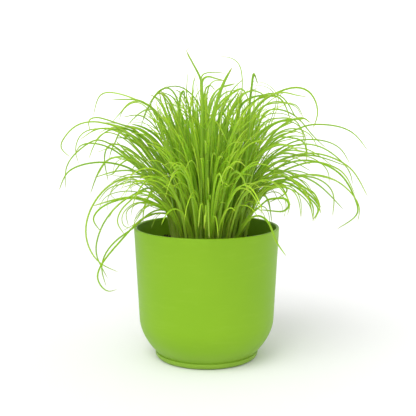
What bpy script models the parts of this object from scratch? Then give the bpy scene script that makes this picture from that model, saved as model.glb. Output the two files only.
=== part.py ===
"""A potted umbrella sedge: a dense clump of stems and long arching leaves in a round pot.

Metres, +Z up. The origin is on the pot's axis, on the surface that the pot stands on. The front
view looks along +Y. The leaves at the sides and the top follow the outline of the photographed
plant, and each lies in an upright or leaning plane of its own, so that none touches another.
"""
import math

import bmesh
import bpy
import numpy as np
from mathutils import Vector

MM = 0.001
GAP = 0.3 * MM                      # between pieces that touch

# The pot
RIM_RADIUS = 70 * MM                # a 14 cm pot
RIM_HEIGHT = 128.3 * MM
RIM_ROUND = 1.2 * MM
WALL = 3 * MM
SHOULDER_RADIUS = 65.5 * MM         # where the straight wall ends and the lower curve begins
SHOULDER_HEIGHT = 38.4 * MM
WALL_SLOPE = (RIM_RADIUS - SHOULDER_RADIUS) / (RIM_HEIGHT - SHOULDER_HEIGHT)
LOWER_BEND = 15.6 * MM              # how far below the shoulder the lower curve's control point lies
WAIST_RADIUS = 49 * MM              # the narrow line between body and foot
FOOT_RADIUS = 50.3 * MM
FOOT_HEIGHT = 5.9 * MM
FOOT_ROUND = 4.6 * MM
FOOT_EDGE = 0.5 * MM                # the foot's upper edge slants in by this height
WAIST_FLARE = (0.4 * MM, 0.6 * MM)  # out and up from the waist to where the lower curve begins
FLOOR = 9 * MM                      # height of the pot's inner floor
POT_SIDES = 40

# The soil
SOIL_TOP = 111 * MM
SOIL_FLAT_RADIUS = 43 * MM          # the plant stands on this flat middle
SOIL_RINGS = (60 * MM, 54 * MM, 48 * MM)
SOIL_LUMP = 1.3 * MM
SOIL_WAVES = ((7, 4 * MM), (12, -3 * MM))   # lumps round the pot, and how fast they turn inwards

# The clump of stems
CLUMP_ROOT_RADIUS = 28 * MM
CLUMP_TOP = 132 * MM                # the packed stems part from each other here
FAN_CENTRE = -105 * MM              # every stem points away from this depth below the pot
CLUMP_SIDES = 26
CLUMP_RINGS = (1.0, 0.78, 0.56, 0.34)      # radii of the rings between the stems, as shares
CLUMP_DOME = 6 * MM
CLUMP_RIB = 0.03                    # every other corner of the flank stands out by this share
CLUMP_SCATTER = 0.25                # how unevenly the corners stand round the clump, of a step
STEM_WIDTH = 3.6 * MM
STEM_FOOT = 0.7                     # the most that a stem fills of its cell in the clump's top
STEM_STEPS = ((0.5, 0.8), (0.85, 0.5), (1.0, 0.0))     # width left at shares of a stem's length
STEM_UNEVEN = 0.09                  # share by which the stems' lengths vary
STEM_BEND = (7 * MM, 4 * MM)        # how far the ends bend outwards, and by how much that varies
STEM_LENGTH = (98 * MM, 114 * MM, 128 * MM)   # outer, middle and inner ring, above CLUMP_TOP

# The long leaves
LEAF_ROOT_RADIUS = 37.5 * MM
LEAF_WIDTH = 2.3 * MM
LEAF_KEEL = 1.5 * MM
LEAF_SECTIONS = 14
BEND_WEIGHT = 13 * MM               # how strongly the sections crowd into a bend

# The camera that took the photograph, fitted to the round pot: 416 pixels square
PHOTO_CENTRE = 208.0
FOCAL_PIXELS = 882.4
CAMERA_TARGET = Vector((1.4, 0, 145.9)) * MM
CAMERA_DISTANCE = 850 * MM
CAMERA_ELEVATION = math.radians(8.54)

# Where the long leaves run in the photograph, in its pixels, from the clump out to the tip.
# The angle turns a leaf's plane about the pot's axis, out of the picture: plus is to the front.
LEFT_LEAVES = (
    (-55, ((172, 165), (163, 130), (157, 112), (150, 109), (138, 114.5), (128.5, 124))),
    (-49, ((175, 140), (163, 118), (150, 105), (137, 101), (128, 104), (121, 112), (113, 121))),
    (-43, ((166, 190), (150, 170), (130, 150), (115, 144), (107, 148), (104.5, 160), (108, 180))),
    (-37, ((160, 118), (152, 108), (143, 102.5), (112, 92.5), (99, 97), (93.5, 115))),
    (-31, ((168, 195), (150, 172), (136, 160), (120, 156.7), (108, 160), (98, 173), (91, 192))),
    (-25, ((148, 150), (132, 136), (118, 129.5), (105, 128), (92, 131.5), (81, 139))),
    (-19, ((168, 198), (150, 180), (138, 172.5), (127, 170.3), (112, 172), (96, 177))),
    (-13, ((170, 210), (160, 194), (150, 187.5), (138, 192), (124, 200), (109, 215), (100, 231),
           (96, 250), (99, 262), (107, 277))),
    (-7, ((148, 150), (130, 130), (110, 124), (95, 121.5), (78, 124.5), (65, 136),
          (61, 148), (69, 156.5))),
    (-1, ((166, 200), (150, 182), (130, 168.5), (104, 162.3), (80, 165.5), (66, 174.5), (59.5, 189))),
    (5, ((168, 195), (150, 177), (130, 158), (113, 145.5), (97, 140), (85, 145.5), (71, 158.5),
         (65.5, 172), (65.5, 187))),
    (11, ((168, 205), (155, 184), (145, 177.5), (134, 176.3), (118, 180), (103, 190.5), (90, 210),
          (85.5, 231), (90, 250), (103, 265), (117, 271.5))),
    (17, ((172, 216), (160, 213), (147, 216), (136, 224), (120, 241.5), (106, 258), (97, 276),
          (101, 284), (113, 283.5))),
    (23, ((165, 175), (150, 147), (135, 130), (120, 124), (103, 118.5), (95, 117.5), (89, 120.5),
          (89.5, 130))),
    (29, ((168, 210), (150, 202), (133, 198), (115, 201), (99, 209.5), (93.5, 220), (100, 230.5))),
    (35, ((168, 185), (150, 155), (135, 138), (118, 129), (104, 133), (94, 145), (89, 158))),
    (41, ((170, 212), (155, 203), (143, 198.5), (131, 197), (112, 200), (94, 205.5))),
    (47, ((172, 145), (160, 119), (148, 105), (138, 100.3), (125, 99.2), (112, 99.3))),
    (53, ((168, 208), (155, 196), (143, 191), (130, 200), (120, 211), (117, 222), (123, 233))),
)
RIGHT_LEAVES = (
    (-52, ((248, 200), (256, 193), (263, 193.5), (269, 204), (271.5, 220))),
    (-47, ((245, 150), (250, 122), (260, 108), (275, 101.5), (288, 103), (298, 107), (303, 117))),
    (-41, ((248, 170), (255, 140), (265, 122), (280, 118), (294, 119.5), (302, 130), (306.5, 153))),
    (-35, ((250, 170), (258, 128), (266, 112), (283, 110), (300, 119.5), (312, 134), (325, 147))),
    (-29, ((252, 208), (268, 190), (285, 180), (308, 176.5), (324, 182), (334, 196), (333, 214.5))),
    (-23, ((250, 205), (262, 182), (273, 172), (285, 171.5), (300, 175.5), (320, 186), (342, 208))),
    (-17, ((250, 185), (262, 165), (280, 149), (295, 141.3), (311, 139.4), (330, 142.5),
           (343, 151.5), (349, 162))),
    (-11, ((250, 200), (268, 180), (290, 168), (315, 162), (332, 166), (345, 175), (354, 192))),
    (-6, ((250, 185), (262, 155), (278, 138), (295, 130), (308, 125.3), (322, 124.4),
          (342, 127.5), (357, 136.5), (367, 149.5))),
    (-1, ((250, 195), (265, 170), (285, 158), (315, 153.2), (338, 160), (354, 172), (367, 195))),
    (5, ((250, 190), (262, 168), (280, 152), (300, 144.2), (322, 147.5), (340, 160), (350, 173),
         (352.5, 183))),
    (11, ((252, 208), (268, 188), (290, 178), (313, 174.3), (335, 180), (350, 191.5),
          (359.5, 209), (358, 220))),
    (17, ((250, 200), (268, 175), (288, 163), (308, 160.3), (326, 165), (343, 177), (356, 201),
          (357, 214), (338, 228.5))),
    (23, ((250, 206), (262, 184), (276, 176), (292, 179), (308, 190), (317, 201), (320.5, 211))),
    (29, ((252, 210), (262, 190), (278, 181), (295, 186.5), (308, 197), (318, 210), (313.5, 219))),
    (35, ((245, 150), (250, 120), (262, 102), (278, 92), (297, 87.2), (310, 92), (317.5, 106),
          (317, 119), (313, 128.5))),
    (40, ((248, 140), (252, 115), (262, 101), (273, 94.5), (285, 92.5), (296, 95), (306, 96.7))),
    (45, ((250, 180), (262, 150), (275, 138), (290, 137.5), (303, 142), (307, 152), (306, 162))),
    (55, ((254, 216), (268, 222), (274, 236), (279, 246), (285, 254.5))),
)
# The tall leaves stand before and behind the clump: root in mm right of the axis, lean in
# degrees to the front (plus) or the back (minus), and the line in the photograph
TALL_LEAVES = (
    (-6, 12, ((202, 125), (202, 95), (200.5, 79), (194, 65.5), (186.5, 51))),
    (5, 14, ((208, 140), (213, 115), (219, 95), (225, 80), (231.5, 68.5))),
    (-20, 11, ((179, 120), (177, 99), (172, 90.5), (167, 88), (158, 92), (151, 103), (145, 115),
               (141, 126))),
    (15, 17, ((213, 125), (222, 101), (233, 93), (241, 89), (245.5, 93), (249, 102))),
    (14, -12, ((236, 140), (240, 110), (242, 90), (242, 76), (238, 63), (229, 57.5), (221, 56.5))),
    (22, 11, ((248, 140), (250, 100), (252, 84), (254, 74), (257.5, 83))),
    (-4, -11, ((206, 130), (209, 104), (213, 94.5), (220, 88.5), (234, 84.5))),
)
TALL_ROOT_RADIUS = 33.5 * MM

# The leaves that arch to the front and the back, which the photograph hides: direction in
# degrees from +X, length in mm, lean from upright in degrees at the root and at the tip
ARCHING_LEAVES = (
    (-114, 160, 12, 150), (-101, 160, 16, 118), (-89, 142, 22, 160), (-77, 158, 12, 132),
    (-64, 160, 18, 140),
    (64, 156, 14, 138), (77, 162, 18, 120), (91, 152, 12, 158), (102, 154, 20, 128),
    (115, 158, 14, 150),
)
ARCH_ROOT_RADIUS = 41 * MM


def material(name, colour, roughness):
    """A plain surface of one colour."""
    mat = bpy.data.materials.new(name)
    mat.use_nodes = True
    shader = mat.node_tree.nodes["Principled BSDF"]
    shader.inputs["Base Color"].default_value = (*colour, 1)
    shader.inputs["Roughness"].default_value = roughness
    mat.diffuse_color = (*colour, 1)
    return mat


def add_object(name, bm, mat, smooth=True):
    """Turn a finished bmesh into an object with its material."""
    bmesh.ops.recalc_face_normals(bm, faces=bm.faces)
    mesh = bpy.data.meshes.new(name)
    bm.to_mesh(mesh)
    bm.free()
    mesh.materials.append(mat)
    if smooth:
        mesh.shade_smooth()
        mesh.set_sharp_from_angle(angle=math.radians(40))
    obj = bpy.data.objects.new(name, mesh)
    bpy.context.scene.collection.objects.link(obj)
    return obj


def arc(centre, radius, start, end, steps):
    """Points on an arc in the (radius, height) plane, angles in degrees."""
    angles = [math.radians(start + (end - start) * i / steps) for i in range(steps + 1)]
    return [(centre[0] + radius * math.cos(a), centre[1] + radius * math.sin(a)) for a in angles]


def bezier(start, control, end, steps):
    """Points on a quadratic curve in the (radius, height) plane."""
    points = []
    for i in range(steps + 1):
        t = i / steps
        points.append(tuple((1 - t) ** 2 * a + 2 * t * (1 - t) * b + t * t * c
                            for a, b, c in zip(start, control, end)))
    return points


def turned(profile, sides):
    """A bmesh turned about +Z from a (radius, height) profile that starts and ends on the axis."""
    bm = bmesh.new()
    verts = [bm.verts.new((r, 0, z)) for r, z in profile]
    edges = [bm.edges.new(pair) for pair in zip(verts, verts[1:])]
    bmesh.ops.spin(bm, geom=verts + edges, cent=(0, 0, 0), axis=(0, 0, 1),
                   angle=math.tau, steps=sides, use_duplicate=False)
    bmesh.ops.remove_doubles(bm, verts=bm.verts, dist=0.01 * MM)
    return bm


def inner_curve(inset):
    """The inside of the pot from its floor to its shoulder, moved inwards by inset."""
    shoulder = SHOULDER_RADIUS - WALL - inset
    bend = (shoulder - WALL_SLOPE * LOWER_BEND, SHOULDER_HEIGHT - LOWER_BEND)
    floor_edge = (WAIST_RADIUS - WALL - inset, FLOOR + inset)
    return bezier(floor_edge, bend, (shoulder, SHOULDER_HEIGHT), 4)


def make_pot(mat):
    """One moulded piece: a low foot, a rounded lower body and a straight flaring wall."""
    foot_edge = (FOOT_RADIUS - FOOT_ROUND, FOOT_ROUND)
    bend = (SHOULDER_RADIUS - WALL_SLOPE * LOWER_BEND, SHOULDER_HEIGHT - LOWER_BEND)
    profile = [(0, 0)]
    profile += arc(foot_edge, FOOT_ROUND, -90, 0, 3)
    profile += [(FOOT_RADIUS, FOOT_HEIGHT - FOOT_EDGE), (WAIST_RADIUS, FOOT_HEIGHT)]
    profile += bezier((WAIST_RADIUS + WAIST_FLARE[0], FOOT_HEIGHT + WAIST_FLARE[1]), bend,
                      (SHOULDER_RADIUS, SHOULDER_HEIGHT), 6)
    rim_low = RIM_HEIGHT - RIM_ROUND
    profile += arc((RIM_RADIUS - RIM_ROUND, rim_low), RIM_ROUND, 0, 90, 2)
    profile += arc((RIM_RADIUS - WALL + RIM_ROUND, rim_low), RIM_ROUND, 90, 180, 2)
    profile += reversed(inner_curve(0))
    profile.append((0, FLOOR))
    return add_object("pot", turned(profile, POT_SIDES), mat)


def make_soil(mat):
    """Potting soil that fills the pot, flat in the middle and lumpy towards the wall."""
    inside = inner_curve(GAP)
    top_radius = inside[-1][0] + WALL_SLOPE * (SOIL_TOP - SHOULDER_HEIGHT)
    profile = [(0, FLOOR + GAP)] + inside
    profile += [(top_radius, SOIL_TOP)]
    profile += [(radius, SOIL_TOP) for radius in SOIL_RINGS]
    profile += [(SOIL_FLAT_RADIUS, SOIL_TOP), (0, SOIL_TOP)]
    bm = turned(profile, POT_SIDES)
    for vert in bm.verts:
        radius = math.hypot(vert.co.x, vert.co.y)
        if vert.co.z > SOIL_TOP - GAP and radius > SOIL_FLAT_RADIUS + MM:
            angle = math.atan2(vert.co.y, vert.co.x)
            wave = sum(math.sin(lumps * angle + radius / turn) for lumps, turn in SOIL_WAVES)
            vert.co.z -= SOIL_LUMP * (1 + 0.5 * wave)
    return add_object("soil", bm, mat)


def fan_direction(point):
    """The way a stem grows at a point: straight away from the fan's centre."""
    return (point - Vector((0, 0, FAN_CENTRE))).normalized()


def grow_stem(bm, face, length, bend):
    """Draw one face of the clump's top out into a tapering, outward bending stem."""
    root = face.calc_center_median()
    aim = fan_direction(root)
    outward = Vector((root.x, root.y, 0))
    outward = outward.normalized() if outward.length > MM else Vector((0, 0, 0))
    base = [(vert.co - root) for vert in face.verts]
    for reach, taper in STEM_STEPS:
        extruded = bmesh.ops.extrude_discrete_faces(bm, faces=[face])
        face = extruded["faces"][0]
        centre = root + aim * length * reach + outward * bend * reach ** 3
        for vert, offset in zip(face.verts, base):
            vert.co = centre + offset * taper
    bmesh.ops.remove_doubles(bm, verts=list(face.verts), dist=0.01 * MM)


def make_clump(mat):
    """The packed foot of the stems, which part into single stems above CLUMP_TOP."""
    low = SOIL_TOP + GAP
    spread = (CLUMP_TOP - FAN_CENTRE) / (low - FAN_CENTRE)
    bm = bmesh.new()

    def ring(radius, height, rib):
        verts = []
        for i in range(CLUMP_SIDES):
            angle = math.tau * (i + CLUMP_SCATTER * math.sin(2.7 * i)) / CLUMP_SIDES
            r = radius * (1 + rib * (-1) ** i)
            verts.append(bm.verts.new((r * math.cos(angle), r * math.sin(angle), height)))
        return verts

    rings = []
    for share in (0, 0.5, 1):
        height = low + (CLUMP_TOP - low) * share
        rings.append(ring(CLUMP_ROOT_RADIUS * (1 + (spread - 1) * share), height, CLUMP_RIB))
    flank = len(rings)
    for share in CLUMP_RINGS[1:]:
        rings.append(ring(CLUMP_ROOT_RADIUS * spread * share, CLUMP_TOP + CLUMP_DOME * (1 - share), 0))
    cells = []
    for level, (inner, outer) in enumerate(zip(rings, rings[1:])):
        for i in range(CLUMP_SIDES):
            j = (i + 1) % CLUMP_SIDES
            face = bm.faces.new((inner[i], inner[j], outer[j], outer[i]))
            if level >= flank - 1:
                cells.append((face, level - flank + 1, i))
    bm.faces.new(rings[-1])
    bm.faces.new(list(reversed(rings[0])))
    bmesh.ops.recalc_face_normals(bm, faces=bm.faces)
    for face, level, i in cells:
        centre = face.calc_center_median()
        foot = bmesh.ops.extrude_discrete_faces(bm, faces=[face])["faces"][0]
        for vert in foot.verts:
            offset = vert.co - centre
            vert.co = centre + offset.normalized() * min(offset.length * STEM_FOOT, STEM_WIDTH / 2)
        length = STEM_LENGTH[level] * (1 + STEM_UNEVEN * math.sin(3.1 * i + 2 * level))
        grow_stem(bm, foot, length, STEM_BEND[0] + STEM_BEND[1] * math.sin(1.7 * i))
    return add_object("stem_clump", bm, mat, smooth=False)


class Plane:
    """The plane that a leaf lies in: a point on it, and its outward and upward directions."""

    def __init__(self, origin, out, up):
        self.origin = origin
        self.out = out
        self.up = up
        self.normal = out.cross(up)

    def point(self, across, height):
        return self.origin + self.out * across + self.up * height

    def read(self, pixel):
        """Where the line of sight through a pixel of the photograph meets this plane."""
        aim = Vector((0, math.cos(CAMERA_ELEVATION), -math.sin(CAMERA_ELEVATION)))
        rise = Vector((0, math.sin(CAMERA_ELEVATION), math.cos(CAMERA_ELEVATION)))
        eye = CAMERA_TARGET - aim * CAMERA_DISTANCE
        ray = (aim + Vector((1, 0, 0)) * (pixel[0] - PHOTO_CENTRE) / FOCAL_PIXELS
               + rise * (PHOTO_CENTRE - pixel[1]) / FOCAL_PIXELS)
        hit = eye + ray * ((self.origin - eye).dot(self.normal) / ray.dot(self.normal))
        return (hit - self.origin).dot(self.out), (hit - self.origin).dot(self.up)


def smooth_line(points, samples=240):
    """A natural cubic curve through points, read at many places."""
    pts = np.array(points, float)
    knots = np.r_[0, np.cumsum(np.linalg.norm(np.diff(pts, axis=0), axis=1) ** 0.75)]
    gaps = np.diff(knots)
    count = len(pts)
    matrix = np.eye(count)
    right = np.zeros_like(pts)
    for i in range(1, count - 1):
        matrix[i, i - 1:i + 2] = gaps[i - 1], 2 * (gaps[i - 1] + gaps[i]), gaps[i]
        right[i] = 6 * ((pts[i + 1] - pts[i]) / gaps[i] - (pts[i] - pts[i - 1]) / gaps[i - 1])
    bends = np.linalg.solve(matrix, right)
    at = np.linspace(0, knots[-1], samples)
    k = np.clip(np.searchsorted(knots, at, side="right") - 1, 0, count - 2)
    after, before, gap = (knots[k + 1] - at)[:, None], (at - knots[k])[:, None], gaps[k][:, None]
    return ((bends[k] * after ** 3 + bends[k + 1] * before ** 3) / (6 * gap)
            + (pts[k] / gap - bends[k] * gap / 6) * after
            + (pts[k + 1] / gap - bends[k + 1] * gap / 6) * before)


def spaced(line, count):
    """Read a line at count places that crowd into its bends."""
    steps = np.diff(line, axis=0)
    heading = np.unwrap(np.arctan2(steps[:, 1], steps[:, 0]))
    turning = np.abs(np.diff(heading, prepend=heading[0]))
    measure = np.r_[0, np.cumsum(np.linalg.norm(steps, axis=1) + BEND_WEIGHT * turning)]
    at = np.linspace(0, measure[-1], count)
    return np.column_stack([np.interp(at, measure, line[:, i]) for i in range(2)])


def arch_line(length, root_lean, tip_lean, root_radius, samples=240):
    """A leaf that starts steep and bends over more and more towards its tip."""
    share = np.linspace(0, 1, samples)
    lean = np.radians(root_lean + (tip_lean - root_lean) * share ** 1.7)
    step = length / (samples - 1)
    across = root_radius + np.r_[0, np.cumsum(np.sin(lean))[:-1]] * step
    height = SOIL_TOP + GAP + np.r_[0, np.cumsum(np.cos(lean))[:-1]] * step
    return np.column_stack([across, height])


def make_leaf(name, plane, line, mat):
    """A long keeled blade, three-sided and tapering to a point, along a line in its plane."""
    places = spaced(line, LEAF_SECTIONS)
    bm = bmesh.new()
    rings = []
    for i, (across, height) in enumerate(places[:-1]):
        ahead = places[i + 1] - places[max(i - 1, 0)]
        ahead = ahead / np.linalg.norm(ahead)
        face_up = plane.out * -ahead[1] + plane.up * ahead[0]
        taper = 1 - (i / (LEAF_SECTIONS - 1)) ** 2.5
        centre = plane.point(across, height)
        side = plane.normal * LEAF_WIDTH / 2 * taper
        corners = (centre + side, centre - side, centre - face_up * LEAF_KEEL * taper)
        if i == 0:
            corners = [Vector((c.x, c.y, SOIL_TOP + GAP)) for c in corners]
        rings.append([bm.verts.new(corner) for corner in corners])
    tip = bm.verts.new(plane.point(*places[-1]))
    for low, high in zip(rings, rings[1:]):
        for a in range(3):
            b = (a + 1) % 3
            bm.faces.new((low[a], low[b], high[b], high[a]))
    bm.faces.new(rings[0])
    for a in range(3):
        bm.faces.new((rings[-1][a], rings[-1][(a + 1) % 3], tip))
    return add_object(name, bm, mat)


def upright_plane(direction):
    """An upright plane through the pot's axis, direction in degrees from +X."""
    angle = math.radians(direction)
    return Plane(Vector((0, 0, 0)), Vector((math.cos(angle), math.sin(angle), 0)), Vector((0, 0, 1)))


def make_side_leaves(mat):
    """The leaves that the photograph shows to the left and the right of the clump."""
    root = (LEAF_ROOT_RADIUS, SOIL_TOP + GAP)
    for group, leaves, facing, sense in (("left", LEFT_LEAVES, 180, 1), ("right", RIGHT_LEAVES, 0, -1)):
        for number, (turn, pixels) in enumerate(leaves, 1):
            plane = upright_plane(facing + sense * turn)
            line = smooth_line([root] + [plane.read(pixel) for pixel in pixels])
            make_leaf(f"leaf_{group}_{number:02d}", plane, line, mat)


def make_tall_leaves(mat):
    """The tallest leaves, on leaning planes before and behind the clump."""
    for number, (root_x, lean, pixels) in enumerate(TALL_LEAVES, 1):
        side = -1 if lean > 0 else 1
        slant = math.radians(abs(lean))
        root_y = side * math.sqrt(TALL_ROOT_RADIUS ** 2 - (root_x * MM) ** 2)
        plane = Plane(Vector((0, root_y, SOIL_TOP + GAP)), Vector((1, 0, 0)),
                      Vector((0, side * math.sin(slant), math.cos(slant))))
        line = smooth_line([(root_x * MM, 0)] + [plane.read(pixel) for pixel in pixels])
        make_leaf(f"leaf_tall_{number:02d}", plane, line, mat)


def make_arching_leaves(mat):
    """The leaves that arch towards the front and the back."""
    for number, (direction, length, root_lean, tip_lean) in enumerate(ARCHING_LEAVES, 1):
        line = arch_line(length * MM, root_lean, tip_lean, ARCH_ROOT_RADIUS)
        make_leaf(f"leaf_arching_{number:02d}", upright_plane(direction), line, mat)


def main():
    for obj in list(bpy.data.objects):
        bpy.data.objects.remove(obj)
    plastic = material("pot_plastic", (0.27, 0.52, 0.022), 0.45)
    earth = material("potting_soil", (0.035, 0.021, 0.013), 0.95)
    stem = material("stem_green", (0.20, 0.42, 0.03), 0.5)
    leaf = material("leaf_green", (0.27, 0.52, 0.03), 0.5)
    make_pot(plastic)
    make_soil(earth)
    make_clump(stem)
    make_side_leaves(leaf)
    make_tall_leaves(leaf)
    make_arching_leaves(leaf)


main()
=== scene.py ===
import math
import random

import bpy
import numpy as np
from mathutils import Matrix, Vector, noise


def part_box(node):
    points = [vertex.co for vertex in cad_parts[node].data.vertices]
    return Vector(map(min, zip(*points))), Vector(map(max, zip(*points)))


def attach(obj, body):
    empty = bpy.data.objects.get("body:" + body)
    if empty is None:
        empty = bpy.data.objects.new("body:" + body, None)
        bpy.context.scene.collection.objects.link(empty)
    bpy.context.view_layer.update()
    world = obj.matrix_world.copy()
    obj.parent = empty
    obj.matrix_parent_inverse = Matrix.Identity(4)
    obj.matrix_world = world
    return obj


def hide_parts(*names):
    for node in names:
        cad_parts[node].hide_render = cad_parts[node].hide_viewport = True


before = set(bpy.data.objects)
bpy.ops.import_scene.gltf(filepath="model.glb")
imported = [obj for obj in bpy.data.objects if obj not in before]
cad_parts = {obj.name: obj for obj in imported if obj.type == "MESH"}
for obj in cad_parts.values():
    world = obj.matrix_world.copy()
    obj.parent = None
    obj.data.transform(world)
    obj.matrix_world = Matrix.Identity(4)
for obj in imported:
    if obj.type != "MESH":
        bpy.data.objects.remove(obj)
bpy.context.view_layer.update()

MM = 0.001

# Sizes of the pot, as the solids have them
RIM_RADIUS = 70 * MM
RIM_HEIGHT = 128.3 * MM
RIM_ROUND = 1.2 * MM
WALL = 3 * MM
SHOULDER_RADIUS = 65.5 * MM
SHOULDER_HEIGHT = 38.4 * MM
WALL_SLOPE = (RIM_RADIUS - SHOULDER_RADIUS) / (RIM_HEIGHT - SHOULDER_HEIGHT)
LOWER_BEND = 15.6 * MM  # the lower curve turns in this far below the shoulder
WAIST_RADIUS = 49 * MM
FOOT_RADIUS = 50.3 * MM
FOOT_HEIGHT = 5.9 * MM
FOOT_ROUND = 4.6 * MM
FLOOR = 9 * MM

# Finer forms of the pot, which the solids leave out
BASE_RING = 30 * MM  # the underside has a ring of faces out to here
FOOT_EDGE = 0.5 * MM  # rounding of the foot's upper edge
FOOT_EDGE_DROP = 0.6 * MM  # its centre, below the top of the foot
# Three places above the foot where the wall starts: out from the waist, up from the foot
FOOT_GROOVE = ((0.3 * MM, 0), (0, 0.2 * MM), (0.4 * MM, 0.6 * MM))
POT_SIDES = 160

SOIL_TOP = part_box("soil")[1].z
SOIL_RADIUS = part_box("soil")[1].x - 0.2 * MM  # just inside its solid

# Where leaves and stems grow from
LEAF_ROOT_RADIUS = {"left": 32 * MM, "right": 37.5 * MM}
TALL_ROOT_RADIUS = 33.5 * MM
ARCH_ROOT_RADIUS = 41 * MM
THIN_ROOT_RADIUS = 31 * MM
THIN_TALL_DEPTH = 26 * MM  # the thinner tall ones are rooted this far to the front or back
THIN_TALL_LEAN = 12  # degrees, to the same side
ROOT_HEIGHT = SOIL_TOP - 4 * MM  # stems and leaves start inside the soil

# Widths of the leaves, and the share that they narrow by up to their tips
LEAF_WIDTH = 3 * MM
THIN_WIDTH = 2.35 * MM  # of the thinner leaves at the sides
SIDE_WIDTHS = {"left": 0.88, "right": 0.84}  # of the long leaves there, in leaf widths
TALL_WIDTHS = (0.85, 1.4, 0.55, 0.75, 0.45, 0.95, 0.55)  # of the tall leaves, in leaf widths
LEAF_FADE = 0.55
LONG_FADE = 0.38  # of the long leaves at the sides
THIN_FADE = 0.33
TALL_FADE = 0.15  # the tall ones stay broad almost to their tips
THIN_TALL_FADE = 0.45

# Seeds of the random draws, one for each group of pieces: every run gives the same plant
SEEDS = {"long": 4, "thin": 8, "clump": 21, "filling": 33, "soil": 5}

# The camera that took the photograph, fitted to the round pot: 416 pixels square
PHOTO_SIZE = 416
PHOTO_CENTRE = PHOTO_SIZE / 2
FOCAL_PIXELS = 882.4
CAMERA_TARGET = Vector((1.4, 0, 145.9)) * MM
CAMERA_DISTANCE = 850 * MM
CAMERA_ELEVATION = math.radians(8.54)
SENSOR_WIDTH = 36  # mm

# Where the long leaves run in the photograph, in its pixels, from the clump out to the tip.
# The angle turns a leaf's plane about the pot's axis, out of the picture: plus is to the front.
LEFT_LEAVES = (
    (-55, ((172, 165), (163, 130), (157, 112), (150, 109), (138, 114.5), (128.5, 124))),
    (-49, ((175, 140), (163, 118), (150, 105), (137, 101), (128, 104), (121, 112), (113, 121))),
    (-43, ((166, 190), (150, 170), (130, 150), (115, 144), (107, 148), (104.5, 160), (108, 180))),
    (-37, ((160, 118), (152, 108), (143, 102.5), (112, 92.5), (99, 97), (93.5, 115))),
    (-31, ((168, 195), (150, 172), (136, 160), (120, 156.7), (108, 160), (98, 173), (91, 192))),
    (-25, ((148, 150), (132, 136), (118, 129.5), (105, 128), (92, 131.5), (81, 139))),
    (-19, ((168, 198), (150, 180), (138, 172.5), (127, 170.3), (112, 172), (96, 177))),
    (-13, ((170, 210), (160, 194), (150, 187.5), (138, 192), (124, 200), (109, 215), (100, 231),
           (96, 250), (99, 262), (107, 277))),
    (-7, ((148, 150), (130, 130), (110, 124), (95, 121.5), (78, 124.5), (65, 136), (61, 148),
          (69, 156.5))),
    (-1, ((166, 200), (150, 182), (130, 168.5), (104, 162.3), (80, 165.5), (66, 174.5), (59.5, 189))),
    (5, ((168, 195), (150, 177), (130, 158), (113, 145.5), (97, 140), (85, 145.5), (71, 158.5),
         (65.5, 172), (65.5, 187))),
    (11, ((168, 205), (155, 184), (145, 177.5), (134, 176.3), (118, 180), (103, 190.5), (90, 210),
          (85.5, 231), (90, 250), (103, 265), (117, 271.5))),
    (17, ((172, 216), (160, 213), (147, 216), (136, 224), (120, 241.5), (106, 258), (97.5, 276),
          (100, 284.5), (104.5, 289.5), (110, 291.3), (115, 290))),
    (23, ((165, 175), (150, 147), (135, 130), (120, 124), (103, 118.5), (95, 117.5), (89, 120.5),
          (89.5, 130))),
    (29, ((168, 210), (150, 202), (133, 198), (115, 201), (99, 209.5), (93.5, 220), (100, 230.5))),
    (35, ((168, 185), (150, 155), (135, 138), (118, 129), (104, 133), (94, 145), (89, 158))),
    (41, ((170, 212), (155, 203), (143, 198.5), (131, 197), (112, 200), (94, 205.5))),
    (47, ((172, 145), (160, 119), (148, 105), (138, 100.3), (125, 99.2), (112, 99.3))),
    (53, ((168, 208), (155, 196), (143, 191), (130, 200), (120, 211), (117, 222), (123, 233))),
)
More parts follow.
